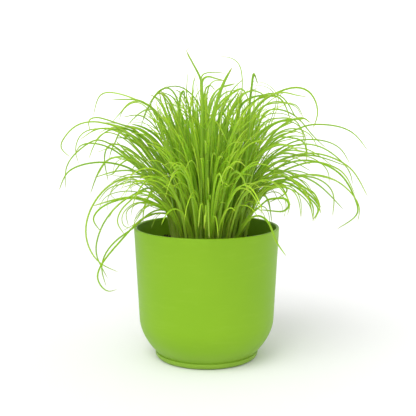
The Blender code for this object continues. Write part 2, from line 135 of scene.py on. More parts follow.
RIGHT_LEAVES = (
    (-52, ((248, 200), (256, 193), (263, 193.5), (269, 204), (271.5, 220))),
    (-47, ((245, 150), (250, 122), (260, 108), (275, 101.5), (288, 103), (298, 107), (303, 117))),
    (-41, ((248, 170), (255, 140), (265, 122), (280, 118), (294, 119.5), (302, 130), (306.5, 153))),
    (-35, ((250, 170), (258, 128), (266, 112), (283, 110), (300, 119.5), (312, 134), (325, 147))),
    (-29, ((252, 208), (268, 190), (285, 180), (308, 176.5), (324, 182), (334, 196), (333, 214.5))),
    (-23, ((250, 205), (262, 182), (273, 172), (285, 171.5), (300, 175.5), (320, 186), (342, 208))),
    (-17, ((250, 185), (262, 165), (280, 149), (295, 141.3), (311, 139.4), (330, 142.5), (343, 151.5),
           (349, 162))),
    (-11, ((250, 200), (268, 180), (290, 168), (315, 162), (332, 166), (345, 175), (354, 192))),
    (-6, ((250, 185), (262, 155), (278, 138), (295, 130), (308, 125.3), (322, 124.4), (342, 127.5),
          (357, 136.5), (367, 149.5))),
    (-1, ((250, 195), (265, 170), (285, 158), (315, 153.2), (338, 160), (354, 172), (367, 195))),
    (5, ((250, 190), (262, 168), (280, 152), (300, 144.2), (322, 147.5), (340, 160), (350, 173),
         (352.5, 183))),
    (11, ((252, 208), (268, 188), (290, 178), (313, 174.3), (335, 180), (350, 191.5), (359.5, 209),
          (358, 220))),
    (17, ((250, 200), (268, 175), (288, 163), (308, 160.3), (326, 165), (343, 177), (356, 201),
          (357, 214), (338, 228.5))),
    (23, ((250, 206), (262, 184), (276, 176), (292, 179), (308, 190), (317, 201), (320.5, 211))),
    (29, ((252, 210), (262, 190), (278, 181), (295, 186.5), (308, 197), (318, 210), (313.5, 219))),
    (35, ((245, 150), (250, 120), (262, 102), (278, 92), (297, 87.2), (310, 92), (317.5, 106),
          (317, 119), (313, 128.5))),
    (40, ((248, 140), (252, 115), (262, 101), (273, 94.5), (285, 92.5), (296, 95), (306, 96.7))),
    (45, ((250, 180), (262, 150), (275, 138), (290, 137.5), (303, 142), (307, 152), (306, 162))),
    (55, ((254, 216), (268, 222), (274, 236), (279, 246), (285, 254.5))),
)
# The tall leaves: root in mm right of the axis, lean in degrees to the front (plus) or the
# back (minus), and the line in the photograph
TALL_LEAVES = (
    (-6, 12, ((202, 125), (202, 95), (200.5, 79), (194, 65.5), (186.5, 51))),
    (5, 14, ((208, 140), (213, 115), (219, 95), (225, 80), (231.5, 68.5))),
    (-20, 11, ((179, 120), (177, 99), (172, 90.5), (167, 88), (158, 92), (151, 103), (145, 115),
               (141, 126))),
    (15, 17, ((213, 125), (222, 101), (233, 93), (241, 89), (245.5, 93), (249, 102))),
    (14, -12, ((236, 140), (240, 110), (242, 90), (242, 76), (238, 63), (229, 57.5), (221, 56.5))),
    (22, 11, ((248, 140), (250, 100), (252, 84), (254, 74), (257.5, 83))),
    (-4, -11, ((206, 130), (209, 104), (213, 94.5), (220, 88.5), (234, 84.5))),
)
# The leaves that arch to the front and the back: direction in degrees from +X, length in mm,
# lean from upright in degrees at the root and at the tip
ARCHING_LEAVES = (
    (-114, 160, 12, 150), (-101, 160, 16, 118), (-89, 142, 22, 160), (-77, 158, 12, 132),
    (-64, 160, 18, 140),
    (64, 156, 14, 138), (77, 162, 18, 120), (91, 152, 12, 158), (102, 154, 20, 128),
    (115, 158, 14, 150),
)

# Thinner leaves in the photograph: turn, width as a share of THIN_WIDTH, and the line
THIN_LEFT = (
    (12, 0.8, ((165, 175), (150, 154), (130, 138), (115, 130), (100, 128.5), (86, 131), (78, 139),
               (75.5, 150), (76.5, 157), (79, 164))),
    (-10, 0.6, ((172, 160), (160, 128), (149, 106.5), (146, 110), (144, 116), (142, 124))),
    (-30, 0.7, ((168, 160), (155, 122), (145, 106), (135, 102.5), (126, 107), (121, 114), (119, 121))),
    (38, 0.7, ((166, 200), (150, 186), (137, 181.5), (120, 184.5), (107, 190), (99, 200))),
    (-16, 1.2, ((168, 190), (150, 158), (135, 140), (125, 131.5), (119.5, 132.5), (116.5, 138),
                (113, 146), (110.5, 152), (109.5, 157))),
    (25, 1.3, ((168, 195), (150, 175), (135, 160), (125, 150), (117.5, 142))),
    (2, 1.1, ((168, 195), (150, 178), (135, 165), (124, 157), (114, 150), (104, 145.5), (94, 143.3),
              (85, 143.8), (79, 147), (76, 152))),
    (14, 0.9, ((172, 214), (158, 210), (145, 217), (133, 228), (118, 239), (106, 253), (101.8, 266),
               (103, 276), (105.8, 285))),
    (50, 0.7, ((170, 213), (157, 206), (145, 202), (134, 205), (126, 213), (128, 225))),
    (46, 0.7, ((170, 215), (158, 207), (147, 203), (137, 202.5), (128, 207), (122.5, 214), (121.5, 220),
               (124, 226), (129, 228))),
    (58, 0.6, ((168, 210), (160, 205), (150, 204), (144, 209), (143, 221))),
    (44, 0.7, ((168, 212), (157, 206), (148, 206), (140, 214), (132, 227))),
    (20, 0.6, ((170, 214), (155, 214), (143, 219), (134, 224.5), (124, 230))),
    (32, 0.8, ((166, 178), (150, 148), (140, 134), (130, 127.5), (118, 123.5), (106, 122.5))),
    (-34, 0.8, ((166, 185), (150, 160), (138, 143), (127, 132), (117, 127.5), (108, 128.5), (99, 133))),
    (-46, 0.7, ((168, 198), (150, 176), (135, 164), (122, 159), (110, 158), (103, 166), (96, 178))),
    (8, 0.8, ((166, 188), (150, 166), (134, 147), (123, 138), (112, 133), (102, 134), (95, 141))),
    (-4, 0.7, ((166, 190), (148, 168), (134, 156), (120, 150), (108, 148.5), (98, 152))),
    (33, 1.5, ((176, 175), (168, 152), (159.5, 139), (150, 131), (140.5, 126.3), (132, 124))),
    (-28, 0.95, ((174, 180), (167, 162), (157, 146), (146, 134.5), (134, 127.5), (120, 124))),
    (18, 0.9, ((174, 185), (166, 168), (155, 151), (142, 138), (128, 129.5), (112, 127))),
    (-8, 0.9, ((172, 185), (163, 168), (150, 150), (137, 138), (122, 131), (108, 130))),
    (-40, 1.2, ((178, 165), (173, 150), (166, 133), (159.5, 119), (150, 106), (139, 100), (126, 99.3),
                (114, 99.3))),
    (40, 0.9, ((176, 165), (167, 145), (158, 130), (148, 119.5), (137, 115), (124, 117))),
    (-52, 0.9, ((172, 190), (163.5, 183), (149, 170.5), (134, 158), (117.5, 143))),
    (6, 0.85, ((170, 188), (160, 175), (147, 163), (134, 152), (121, 145), (109, 143))),
    (48, 0.8, ((172, 175), (162, 155), (152, 141), (142, 134), (131, 133))),
    (27, 0.8, ((170, 200), (160, 188), (148, 178), (136, 174), (123, 176), (112, 182))),
    (-26, 0.8, ((170, 204), (160, 193), (148, 185), (136, 183.5), (124, 187))),
    (16, 1.3, ((170, 182), (158, 167), (149, 157), (142.7, 148.6), (132.7, 141.3), (124, 137.8),
               (117, 138))),
    (31, 1.5, ((173, 180), (163, 163), (155, 151), (147, 141.5), (138, 134), (127, 129), (116, 127.5))),
    (-18, 1.4, ((168, 182), (158, 166), (150, 153.5), (142, 144), (133, 137.5), (124, 134))),
    (-33, 1.8, ((174, 172), (164, 153.6), (158, 144.7), (151.6, 137), (143.8, 130.2), (134, 126.5))),
    (-12, 1.3, ((165, 196), (153, 185), (146, 177), (140.4, 170), (132.7, 162.4), (123.8, 154.7),
                (115, 147))),
    (36, 1.4, ((172, 184), (159, 166), (152.7, 158), (145, 148), (137, 139), (128, 132), (118, 127),
               (107, 123.5), (96, 122))),
    (-22, 1.1, ((170, 190), (158, 176), (151.6, 169), (142.7, 160), (133.8, 153.6), (125, 149))),
    (26, 0.95, ((170, 190), (150, 163), (134, 145), (122, 134), (112, 129.5), (104, 128), (96, 129),
                (89, 133), (81.5, 138.3))),
    (28, 0.9, ((168, 190), (150, 172), (138, 162.5), (130, 159.5), (122, 163), (116.5, 169),
               (112.5, 174), (107, 175.5))),
    (-24, 0.6, ((166, 188), (150, 172), (137, 162), (127, 158.5), (118, 160.5), (114, 166),
                (113.3, 174))),
    (10, 0.8, ((166, 190), (152, 176), (141, 168), (135.5, 165.5), (132.7, 169), (132.5, 175))),
    (-14, 0.7, ((168, 205), (155, 193), (144, 184), (133, 178.5), (122, 176.5), (114, 175.5))),
    (24, 1.5, ((179, 182), (171, 165), (162.5, 149), (155, 139.5), (147, 133), (137, 128.5), (126, 127))),
    (2, 1.4, ((177, 186), (169, 171), (160, 154), (152.5, 144), (144, 136.5), (134, 131), (124, 129))),
)
THIN_RIGHT = (
    (-20, 0.5, ((252, 160), (266, 130), (275, 108), (276, 98), (272, 91), (265, 86.5), (252, 84.8))),
    (-8, 0.45, ((252, 160), (268, 130), (277, 108), (278, 97), (273, 89), (264, 83), (251, 81.5))),
    (24, 1.1, ((245, 140), (248, 112), (258, 99), (268, 95.5), (277, 96.5), (285, 105), (290, 119))),
    (-25, 1.1, ((242, 140), (250, 108), (265, 94.5), (279, 94.8), (286, 100.5), (291, 108),
                (295, 115.5), (300, 121))),
    (30, 0.7, ((250, 150), (256, 118), (263, 107), (277, 103), (290, 104), (298, 109), (301.5, 116))),
    (-38, 0.8, ((250, 160), (256, 130), (264, 117), (272, 113.5), (285, 114), (294, 118))),
    (8, 1.3, ((250, 172), (264, 146), (280, 127), (292, 120), (304, 118.3), (310, 122.5))),
    (-4, 1.0, ((250, 195), (270, 167), (290, 156.8), (305, 154.8), (322, 157.3), (345, 165.5))),
    (20, 0.8, ((250, 206), (268, 190), (290, 177), (310, 174.8), (328, 178), (343, 185), (356, 199))),
    (38, 0.8, ((252, 212), (262, 194), (275, 186.5), (287, 187), (296, 194), (300, 206), (301, 217))),
    (-44, 0.8, ((252, 214), (262, 196), (274, 188), (290, 189), (303, 197), (311, 209), (313, 220))),
    (50, 1.2, ((250, 214), (258, 207), (266, 200), (276, 198), (286, 199.5), (289, 204.5), (285, 210.5),
               (273, 211.3), (261, 210))),
    (16, 0.9, ((250, 200), (262, 186), (274, 182), (283, 188), (287.5, 197), (289.8, 206), (288, 213))),
    (-18, 0.8, ((250, 190), (264, 166), (280, 153), (294, 148), (306, 149), (318, 155), (330, 164))),
    (-33, 0.75, ((250, 195), (270, 172), (290, 160), (304, 156), (316, 160), (325, 167), (329, 176),
                 (329, 184))),
    (34, 0.8, ((250, 180), (262, 152), (274, 136), (288, 129), (302, 130), (312, 137), (318, 148))),
    (-12, 0.8, ((250, 175), (260, 142), (272, 126), (286, 121), (298, 125), (305, 136), (307, 150))),
    (-28, 0.95, ((248, 190), (256, 175), (268, 160), (282, 152), (298, 150.5), (318, 156))),
    (26, 0.95, ((248, 185), (256, 165), (266, 150), (278, 141), (292, 136), (306, 137))),
    (-36, 1.7, ((246, 175), (252, 155), (262, 141), (277, 128.5), (292, 122))),
    (38, 1.7, ((246, 170), (252, 148), (261, 132.5), (273, 124), (288, 119.5), (303, 119))),
    (-14, 0.9, ((248, 195), (256, 181), (266, 172), (280, 170), (296, 176.8), (311, 191.6),
                (319.5, 208))),
    (32, 0.85, ((248, 198), (258, 181), (270, 174.5), (284, 175), (298.5, 185.5), (309, 200),
                (313, 219))),
    (12, 0.9, ((246, 180), (254, 160), (266, 143), (280, 133), (294, 131), (308, 136))),
    (-24, 0.9, ((246, 195), (255, 176), (266, 163), (280, 157), (294, 157.5), (310, 164))),
    (44, 1.4, ((246, 180), (252, 165), (262, 153), (274, 146), (286, 145), (298, 150))),
    (18, 0.9, ((247, 195), (256, 178), (268, 166), (281, 161.5), (296, 163), (309, 170))),
    (-40, 0.8, ((247, 185), (254, 164), (264, 150), (277, 143.5), (290, 146))),
    (4, 0.9, ((248, 200), (258, 186), (270, 177), (284, 172), (298, 171), (313, 176))),
    (-3, 1.5, ((249, 192), (260, 174), (271, 160), (282, 153.3), (300, 155.4))),
    (22, 1.4, ((248, 200), (258, 182.6), (266.7, 168.5), (276.4, 162), (288, 160))),
    (-20, 1.0, ((248, 202), (255.8, 190), (263.4, 177), (272, 173), (282, 173), (293, 177))),
    (-26, 1.3, ((250, 200), (265, 181), (284, 176.5), (298, 185.5), (306, 192), (313, 198),
                (318.5, 205.5), (320.5, 212))),
    (24, 1.0, ((250, 204), (268, 187), (284, 182), (293, 185.5), (301, 191), (308.5, 199), (313, 207),
               (313, 219))),
    (-6, 1.2, ((250, 205), (266, 185), (284, 179), (298, 183), (306, 188), (313, 192), (317.5, 199),
               (319.5, 208), (315, 219))),
    (-32, 0.9, ((248, 187), (256, 172), (264.5, 159.5), (272, 152), (282, 147), (292, 145), (302, 146))),
    (28, 0.9, ((248, 190), (256, 176), (263, 165.8), (271, 158), (279.5, 153), (289.5, 150), (302, 152))),
    (-10, 0.9, ((247, 184), (254, 172), (261, 162), (267, 153), (273, 145.8), (282, 140.8), (292, 139))),
    (42, 0.9, ((246, 176), (252.5, 165), (259.5, 154.5), (266, 146), (274.5, 138), (284.5, 133.3),
               (295, 132))),
)
LOW_START = 202  # long leaves that leave the clump below this pixel have no companion

# Short thin ends that hang in the corners beside the clump's foot
CORNER_LEFT = (
    (30, 0.45, ((170, 217), (163, 213), (157, 214.5), (153, 218.5))),
    (-20, 0.5, ((170, 214), (160, 209), (152, 206.5), (141, 203), (133, 207), (131, 215))),
    (10, 1.1, ((170, 205), (162, 196), (154.5, 190.5), (149, 196), (145.5, 204), (143.5, 212),
               (142.8, 219))),
    (45, 0.45, ((169, 215), (161, 213.5), (155, 219), (152, 226))),
    (-35, 0.9, ((170, 200), (161, 189), (152, 189.5), (148, 196.5), (143.5, 207), (134.5, 220))),
    (22, 0.5, ((168, 210), (157, 205), (146, 206.5), (137, 214), (133.5, 225))),
)
CORNER_RIGHT = (
    (-30, 0.9, ((248, 205), (258, 196), (266, 197), (270, 208), (271.5, 220))),
    (-8, 0.45, ((250, 205), (262, 192), (272, 189), (277, 197.5), (282, 205.5), (283, 213))),
    (20, 0.9, ((250, 200), (268, 187), (282, 184), (287, 190), (279, 197.5), (268, 203))),
    (42, 0.7, ((252, 212), (259, 207), (265, 207), (269, 214), (270, 221))),
    (-42, 0.5, ((250, 214), (257, 209), (262, 211.5), (266, 220))),
    (8, 0.5, ((250, 208), (262, 196), (276, 192), (284, 198), (286, 208), (284, 217))),
    (32, 0.6, ((250, 204), (264, 190), (282, 184.5), (296, 191), (301, 203), (301.5, 215))),
)
# Thinner leaves at the top: root in mm right of the axis, width as a share of LEAF_WIDTH, line
THIN_TALL = (
    (-6, 0.35, ((202, 125), (202, 95), (200.5, 79), (194, 65.5), (187, 53), (187.6, 49), (192, 48))),
    (-9, 0.7, ((186, 150), (186, 125), (186, 100), (187, 82), (187.5, 73))),
    (-12, 0.95, ((193, 150), (192.5, 120), (192.5, 98), (193, 84), (195.5, 75.5))),
    (-2, 1.4, ((203, 140), (202.5, 115), (202, 92), (203, 79), (208, 76.3), (215, 78), (223, 80))),
    (-5, 0.95, ((202, 130), (201, 100), (200.5, 84), (203, 74.5), (211, 72.3), (218, 72.3), (225, 73.5))),
    (-14, 0.8, ((204, 135), (200, 108), (190, 93), (178, 86.5), (167, 87.5), (158, 93.5), (150, 104))),
    (-22, 0.5, ((172, 140), (158, 120), (151, 104), (154, 96), (161, 89.5), (174, 82.3))),
    (-16, 1.3, ((178, 140), (179.5, 112), (181.5, 93), (183.5, 91), (184.5, 100))),
    (2, 1.0, ((205, 140), (204, 105), (205, 91), (208, 86), (211.5, 86), (214.5, 89.5))),
    (8, 1.1, ((214, 140), (222, 112), (231, 92), (237, 84.5), (243, 79.5))),
    (12, 0.8, ((214, 150), (219, 120), (225, 104), (231, 94.5), (238, 89), (244, 90))),
    (-18, 0.8, ((178, 140), (174, 110), (168, 98), (161, 93.5), (154, 97), (148, 106))),
    (-1, 1.3, ((205, 130), (207, 112), (211.5, 98), (217, 90), (224, 86), (234, 83.5))),
    (9, 1.4, ((218, 140), (224.5, 121), (233.5, 106), (237.5, 97), (240, 92))),
    (4, 1.5, ((214, 140), (221, 112), (227.5, 98), (234, 92), (240, 89.5))),
    (18, 0.8, ((228, 145), (238.5, 121), (247, 107), (260, 98.5), (277, 95.8))),
    (20, 0.7, ((236, 150), (249, 130), (260, 112), (271, 100), (284, 92.5))),
    (-24, 1.0, ((180, 145), (173.5, 125), (166, 104), (161.5, 94), (158, 93))),
    (-17, 1.0, ((183, 140), (178, 121), (171, 104), (165, 95.5), (158, 92))),
    (-26, 1.0, ((184, 150), (174.5, 136), (166, 113), (157, 98), (150, 95))),
    (-22, 1.0, ((188, 145), (183, 122), (178, 106), (171, 96), (163, 92.5))),
    (-8, 0.9, ((194, 140), (190, 112), (186, 99), (181, 92.5), (175, 90))),
    (6, 1.0, ((210, 130), (213, 110), (219, 98), (227, 91.5), (236, 90))),
    (12, 0.9, ((222, 140), (229, 116), (236, 101), (246, 92), (257, 88.5))),
    (0, 0.9, ((207, 130), (206.5, 104), (209, 86), (215, 80.5), (223, 80.5))),
    (-21, 1.2, ((182, 150), (177.7, 130), (173.4, 116), (168, 103), (161.5, 93.6))),
    (-25, 1.2, ((179, 152), (173.4, 136), (168, 121), (162, 106), (159.3, 93))),
    (-19, 1.2, ((184, 140), (176.6, 117), (172.3, 106), (166, 96), (160, 91))),
    (-27, 1.1, ((178, 155), (171.2, 144.6), (165.8, 129.4), (159.3, 116.4), (151.7, 106.6))),
    (-24, 1.2, ((180, 148), (175.6, 136), (170, 122), (162.5, 107), (155, 97))),
    (-26, 1.1, ((176, 165), (167, 147), (162.5, 134), (159.3, 121), (158, 110))),
    (2, 1.4, ((203, 145), (208, 125), (214.6, 112), (222, 104), (227.6, 96))),
    (5, 1.5, ((209, 145), (214.6, 127), (222.2, 114), (230, 103), (238.5, 91.5))),
    (9, 1.5, ((215, 145), (222.2, 127), (227.6, 116), (234.5, 107), (241.7, 96))),
    (14, 1.3, ((226, 145), (232, 125), (237.3, 114), (239.5, 105), (240.6, 92.5))),
    (16, 1.1, ((224, 140), (230, 116), (237, 101), (246, 92.5), (256, 91), (267, 97))),
    (19, 1.2, ((230, 140), (236, 118), (243, 103), (252, 97.5), (264, 95.5), (275, 97))),
    (-3, 1.3, ((207, 145), (208, 118), (210.5, 106), (215, 96), (221, 89))),
    (10, 1.3, ((224, 150), (226, 127), (229.5, 114), (236, 101), (243, 93))),
)

# The two sides of the plant: long leaves, thinner leaves, direction in degrees from +X, and
# which way round the axis a plane turns to the front
SIDES = (
    ("left", LEFT_LEAVES, THIN_LEFT + CORNER_LEFT, 180, 1),
    ("right", RIGHT_LEAVES, THIN_RIGHT + CORNER_RIGHT, 0, -1),
)

LINE_SAMPLES = 240
KNOT_POWER = 0.75  # how strongly the distance of two points counts in a curve
BEND_WEIGHT = 13 * MM  # how strongly sections crowd into a bend
ARCH_POWER = 1.7  # how late an arching leaf bends over


class Plane:
    """The plane that a leaf lies in: a point on it, and its outward and upward directions."""

    def __init__(self, origin, out, up):
        self.origin = origin
        self.out = out
        self.up = up
        self.normal = out.cross(up)

    def points(self, line):
        """Points in space for (across, height) places in the plane."""
        line = np.asarray(line)
        return (np.array(self.origin) + line[:, :1] * np.array(self.out)
                + line[:, 1:] * np.array(self.up))

    def read(self, pixel):
        """Where the line of sight through a pixel of the photograph meets this plane."""
        aim, rise, eye = camera_axes()
        ray = (aim + Vector((1, 0, 0)) * (pixel[0] - PHOTO_CENTRE) / FOCAL_PIXELS
               + rise * (PHOTO_CENTRE - pixel[1]) / FOCAL_PIXELS)
        hit = eye + ray * ((self.origin - eye).dot(self.normal) / ray.dot(self.normal))
        return (hit - self.origin).dot(self.out), (hit - self.origin).dot(self.up)


def camera_axes():
    """The camera's direction of sight, its upward direction and its place."""
    aim = Vector((0, math.cos(CAMERA_ELEVATION), -math.sin(CAMERA_ELEVATION)))
    rise = Vector((0, math.sin(CAMERA_ELEVATION), math.cos(CAMERA_ELEVATION)))
    return aim, rise, CAMERA_TARGET - aim * CAMERA_DISTANCE


def upright_plane(direction):
    """An upright plane through the pot's axis, direction in degrees from +X."""
    angle = math.radians(direction)
    return Plane(Vector((0, 0, 0)), Vector((math.cos(angle), math.sin(angle), 0)), Vector((0, 0, 1)))


def leaning_plane(root_y, lean):
    """The plane of a tall leaf that is rooted at root_y and leans to the front by lean degrees."""
    slant = math.radians(lean)
    return Plane(Vector((0, root_y, ROOT_HEIGHT)), Vector((1, 0, 0)),
                 Vector((0, -math.sin(slant), math.cos(slant))))


def smooth_line(points):
    """A natural cubic curve through points, read at many places."""
    pts = np.array(points, float)
    knots = np.r_[0, np.cumsum(np.linalg.norm(np.diff(pts, axis=0), axis=1) ** KNOT_POWER)]
    gaps = np.diff(knots)
    count = len(pts)
    matrix = np.eye(count)
    right = np.zeros_like(pts)
    for i in range(1, count - 1):
        matrix[i, i - 1:i + 2] = gaps[i - 1], 2 * (gaps[i - 1] + gaps[i]), gaps[i]
        right[i] = 6 * ((pts[i + 1] - pts[i]) / gaps[i] - (pts[i] - pts[i - 1]) / gaps[i - 1])
    bends = np.linalg.solve(matrix, right)
    at = np.linspace(0, knots[-1], LINE_SAMPLES)
    k = np.clip(np.searchsorted(knots, at, side="right") - 1, 0, count - 2)
    after, before, gap = (knots[k + 1] - at)[:, None], (at - knots[k])[:, None], gaps[k][:, None]
    return ((bends[k] * after ** 3 + bends[k + 1] * before ** 3) / (6 * gap)
            + (pts[k] / gap - bends[k] * gap / 6) * after
            + (pts[k + 1] / gap - bends[k + 1] * gap / 6) * before)


def arch_line(length, root_lean, tip_lean, root_radius):
    """A leaf that starts steep and bends over more and more towards its tip."""
    share = np.linspace(0, 1, LINE_SAMPLES)
    lean = np.radians(root_lean + (tip_lean - root_lean) * share ** ARCH_POWER)
    step = length / (LINE_SAMPLES - 1)
    across = root_radius + np.r_[0, np.cumsum(np.sin(lean))[:-1]] * step
    height = ROOT_HEIGHT + np.r_[0, np.cumsum(np.cos(lean))[:-1]] * step
    return np.column_stack([across, height])


def spaced(line, count):
    """Read a line at count places that crowd into its bends."""
    steps = np.diff(line, axis=0)
    heading = np.unwrap(np.arctan2(steps[:, 1], steps[:, 0]))
    turning = np.abs(np.diff(heading, prepend=heading[0]))
    measure = np.r_[0, np.cumsum(np.linalg.norm(steps, axis=1) + BEND_WEIGHT * turning)]
    at = np.linspace(0, measure[-1], count)
    return np.column_stack([np.interp(at, measure, line[:, i]) for i in range(2)])


def headings(points):
    """The direction that a line runs in at each of its points."""
    ahead = np.gradient(points, axis=0)
    return ahead / np.linalg.norm(ahead, axis=1)[:, None]


def frames_along(points, side_hint):
    """Directions ahead, sideways and up along a line in space, turning as little as they can."""
    ahead = headings(points)
    sides = np.empty_like(points)
    side = np.array(side_hint, float)
    for i, direction in enumerate(ahead):
        side = side - direction * side.dot(direction)
        side /= np.linalg.norm(side)
        sides[i] = side
    return ahead, sides, np.cross(ahead, sides)


# Cross-sections as (share of half width, share of keel depth, share of thickness) round the edge
BLADE = np.array([(-1, 0, 0), (-0.55, 0.5, 0), (0, 1, 0), (0.55, 0.5, 0), (1, 0, 0),
                  (0.97, 0, 0.7), (0.5, 0.55, 1), (0, 1.05, 1.6), (-0.5, 0.55, 1), (-0.97, 0, 0.7)])
FINE_BLADE = np.array([(-1, 0, 0), (0, 1, 0), (1, 0, 0), (0.9, 0, 1), (0, 1, 1.3), (-0.9, 0, 1)])
RIBS = 3
RIB_GROOVE = 0.68  # how far the grooves between a stem's ribs are from its middle, in its radius
PATTERN_LENGTH = 100 * MM  # of blade for each unit of its pattern's coordinates


def stem_section():
    """The section of a stem, with ribs and grooves in turn."""
    corners = []
    for i in range(2 * RIBS):
        angle = math.radians(90 + 180 / RIBS * i)
        reach = (1, RIB_GROOVE)[i % 2]
        corners.append((reach * math.cos(angle), -reach * math.sin(angle), 0))
    return np.array(corners)


class Blades:
    """Collects closed blades in one mesh, each with a tone of its own."""

    def __init__(self):
        self.verts = []
        self.faces = []
        self.uvs = []
        self.tones = []
        self.shares = []

    def add(self, centres, sides, ups, half_width, keel, thickness, tone, section=FINE_BLADE):
        """One blade: centres, side and up directions per station, and its sizes per station."""
        stations, count = len(centres), len(section)
        first = len(self.verts)
        run = np.r_[0, np.cumsum(np.linalg.norm(np.diff(centres, axis=0), axis=1))]
        share = run / run[-1]
        for i in range(stations - 1):
            ring = (centres[i] + sides[i] * (section[:, :1] * half_width[i])
                    - ups[i] * (section[:, 1:2] * keel[i] + section[:, 2:] * thickness[i]))
            self.verts.extend(ring.tolist())
            self.shares.extend([share[i]] * count)
        self.verts.append(centres[-1].tolist())
        self.shares.append(1.0)
        self.tones.extend([tone] * (len(self.verts) - first))
        across = np.linspace(0, 1, count + 1)
        along = run / PATTERN_LENGTH
        for i in range(stations - 2):
            low, high = first + i * count, first + (i + 1) * count
            v0, v1 = along[i], along[i + 1]
            for a in range(count):
                b = (a + 1) % count
                self.faces.append((low + a, low + b, high + b, high + a))
                u0, u1 = across[a], across[a + 1]
                self.uvs.extend(((u0, v0), (u1, v0), (u1, v1), (u0, v1)))
        self.faces.append(tuple(first + a for a in reversed(range(count))))
        self.uvs.extend((across[a], 0) for a in reversed(range(count)))
        last, tip = first + (stations - 2) * count, len(self.verts) - 1
        v0, v1 = along[-2:]
        for a in range(count):
            u0, u1 = across[a], across[a + 1]
            self.faces.append((last + a, last + (a + 1) % count, tip))
            self.uvs.extend(((u0, v0), (u1, v0), ((u0 + u1) / 2, v1)))

    def build(self, name, mat, slot, replaced=()):
        """Make the object, smooth it and let it ride on the plant's body."""
        mesh = new_mesh(name, self.verts, self.faces)
        uv = mesh.uv_layers.new(name="along")
        uv.data.foreach_set("uv", np.array(self.uvs, np.float32).ravel())
        for label, values in (("tone", self.tones), ("share", self.shares)):
            layer = mesh.attributes.new(label, "FLOAT", "POINT")
            layer.data.foreach_set("value", np.array(values, np.float32))
        mesh.update()
        finish_piece(mesh, mat, replaced)


def new_mesh(name, verts, faces):
    """A mesh of its vertices and faces."""
    mesh = bpy.data.meshes.new(name)
    mesh.from_pydata(verts, [], faces)
    return mesh


def place(name, data):
    """Put a new object into the scene."""
    obj = bpy.data.objects.new(name, data)
    bpy.context.scene.collection.objects.link(obj)
    return obj


def finish_piece(mesh, mat, replaced=(), sharp=50):
    """Place a mesh as a piece of the object, with its material and the nodes that it stands for.

    Edges that bend by more than sharp degrees stay sharp.
    """
    mesh.materials.append(mat)
    mesh.shade_smooth()
    mesh.set_sharp_from_angle(angle=math.radians(sharp))
    obj = place(mesh.name, mesh)
    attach(obj, "root")
    if replaced:
        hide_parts(*replaced)


# The form of a leaf's blade: shares of its width, of its roll and of its length
KEEL = 0.42
THICKNESS = 0.16
TIP_THICKNESS = 0.4  # of the thickness where the blade is widest
ROOT_ROLL = 0.35
ROOT_WIDTH = 0.72
ROOT_LENGTH = 0.15  # the blade widens up to here
TIP_POWER = 9  # how short the tip's point is


def taper(share, fade, tip_power, root_width=1.0, root_length=1.0):
    """The width along a blade: it widens from the root, narrows by the share fade and ends in a point."""
    widening = root_width + (1 - root_width) * np.clip(share / root_length, 0, 1)
    return widening * (1 - fade * share) * np.sqrt(np.clip(1 - share ** tip_power, 0, 1))


def blade_thickness(width, narrowing):
    """The thickness along a blade, which goes down less than its width does."""
    return THICKNESS * width * (TIP_THICKNESS + (1 - TIP_THICKNESS) * narrowing)


def add_leaf(blades, plane, line, width, roll, tone, stations, fade=LEAF_FADE, section=FINE_BLADE):
    """A keeled blade along a line in its plane, rolled about its length by roll degrees."""
    places = spaced(line, stations)
    ahead = headings(places)
    out, up, normal = (np.array(v) for v in (plane.out, plane.up, plane.normal))
    face_up = -ahead[:, 1:] * out + ahead[:, :1] * up
    share = np.linspace(0, 1, stations)
    angle = np.radians(roll * (ROOT_ROLL + (1 - ROOT_ROLL) * share))[:, None]
    side = normal * np.cos(angle) + face_up * np.sin(angle)
    top = face_up * np.cos(angle) - normal * np.sin(angle)
    narrowing = taper(share, fade, TIP_POWER, ROOT_WIDTH, ROOT_LENGTH)
    blades.add(plane.points(places), side, top, width / 2 * narrowing, KEEL * width * narrowing,
               blade_thickness(width, narrowing), tone, section)


def random_roll(rng, least, most):
    """A roll to either side, its size in degrees from a range."""
    return rng.choice((-1, 1)) * rng.uniform(least, most)


TIP_REACH = 2.5  # pixels that a leaf's thin tip goes on past the last one
THIN_TURN = 0.8  # degrees, so that thin leaves keep clear of the long ones
WALL_CLEARANCE = 1.6 * MM
LOWEST_TIP = RIM_HEIGHT + 14 * MM  # of a companion leaf
COMPANION_TRIES = 12


def rooted(pixels, plane, root_across, root_height):
    """The smooth line of a leaf from its root through what the photograph shows of it."""
    (x, y), (before_x, before_y) = pixels[-1], pixels[-2]
    step = TIP_REACH / math.hypot(x - before_x, y - before_y)
    tip = (x + (x - before_x) * step, y + (y - before_y) * step)
    return smooth_line([(root_across, root_height)] + [plane.read(pixel) for pixel in (*pixels, tip)])


def side_leaf(direction, pixels, root_radius):
    """The plane and the line of a leaf at one side of the plant."""
    plane = upright_plane(direction)
    return plane, rooted(pixels, plane, root_radius, ROOT_HEIGHT)


def long_leaf(node, plane, line, rng, mat, share=1.0, fade=LEAF_FADE, rolls=(45, 80)):
    """A long leaf as a piece of its own, in place of its plain solid."""
    blades = Blades()
    roll = random_roll(rng, *rolls)
    width = LEAF_WIDTH * share * rng.uniform(0.85, 1.1)
    add_leaf(blades, plane, line, width, roll, rng.random(), 44, fade, BLADE)
    blades.build(node + "_blade", mat, "leaves", [node])


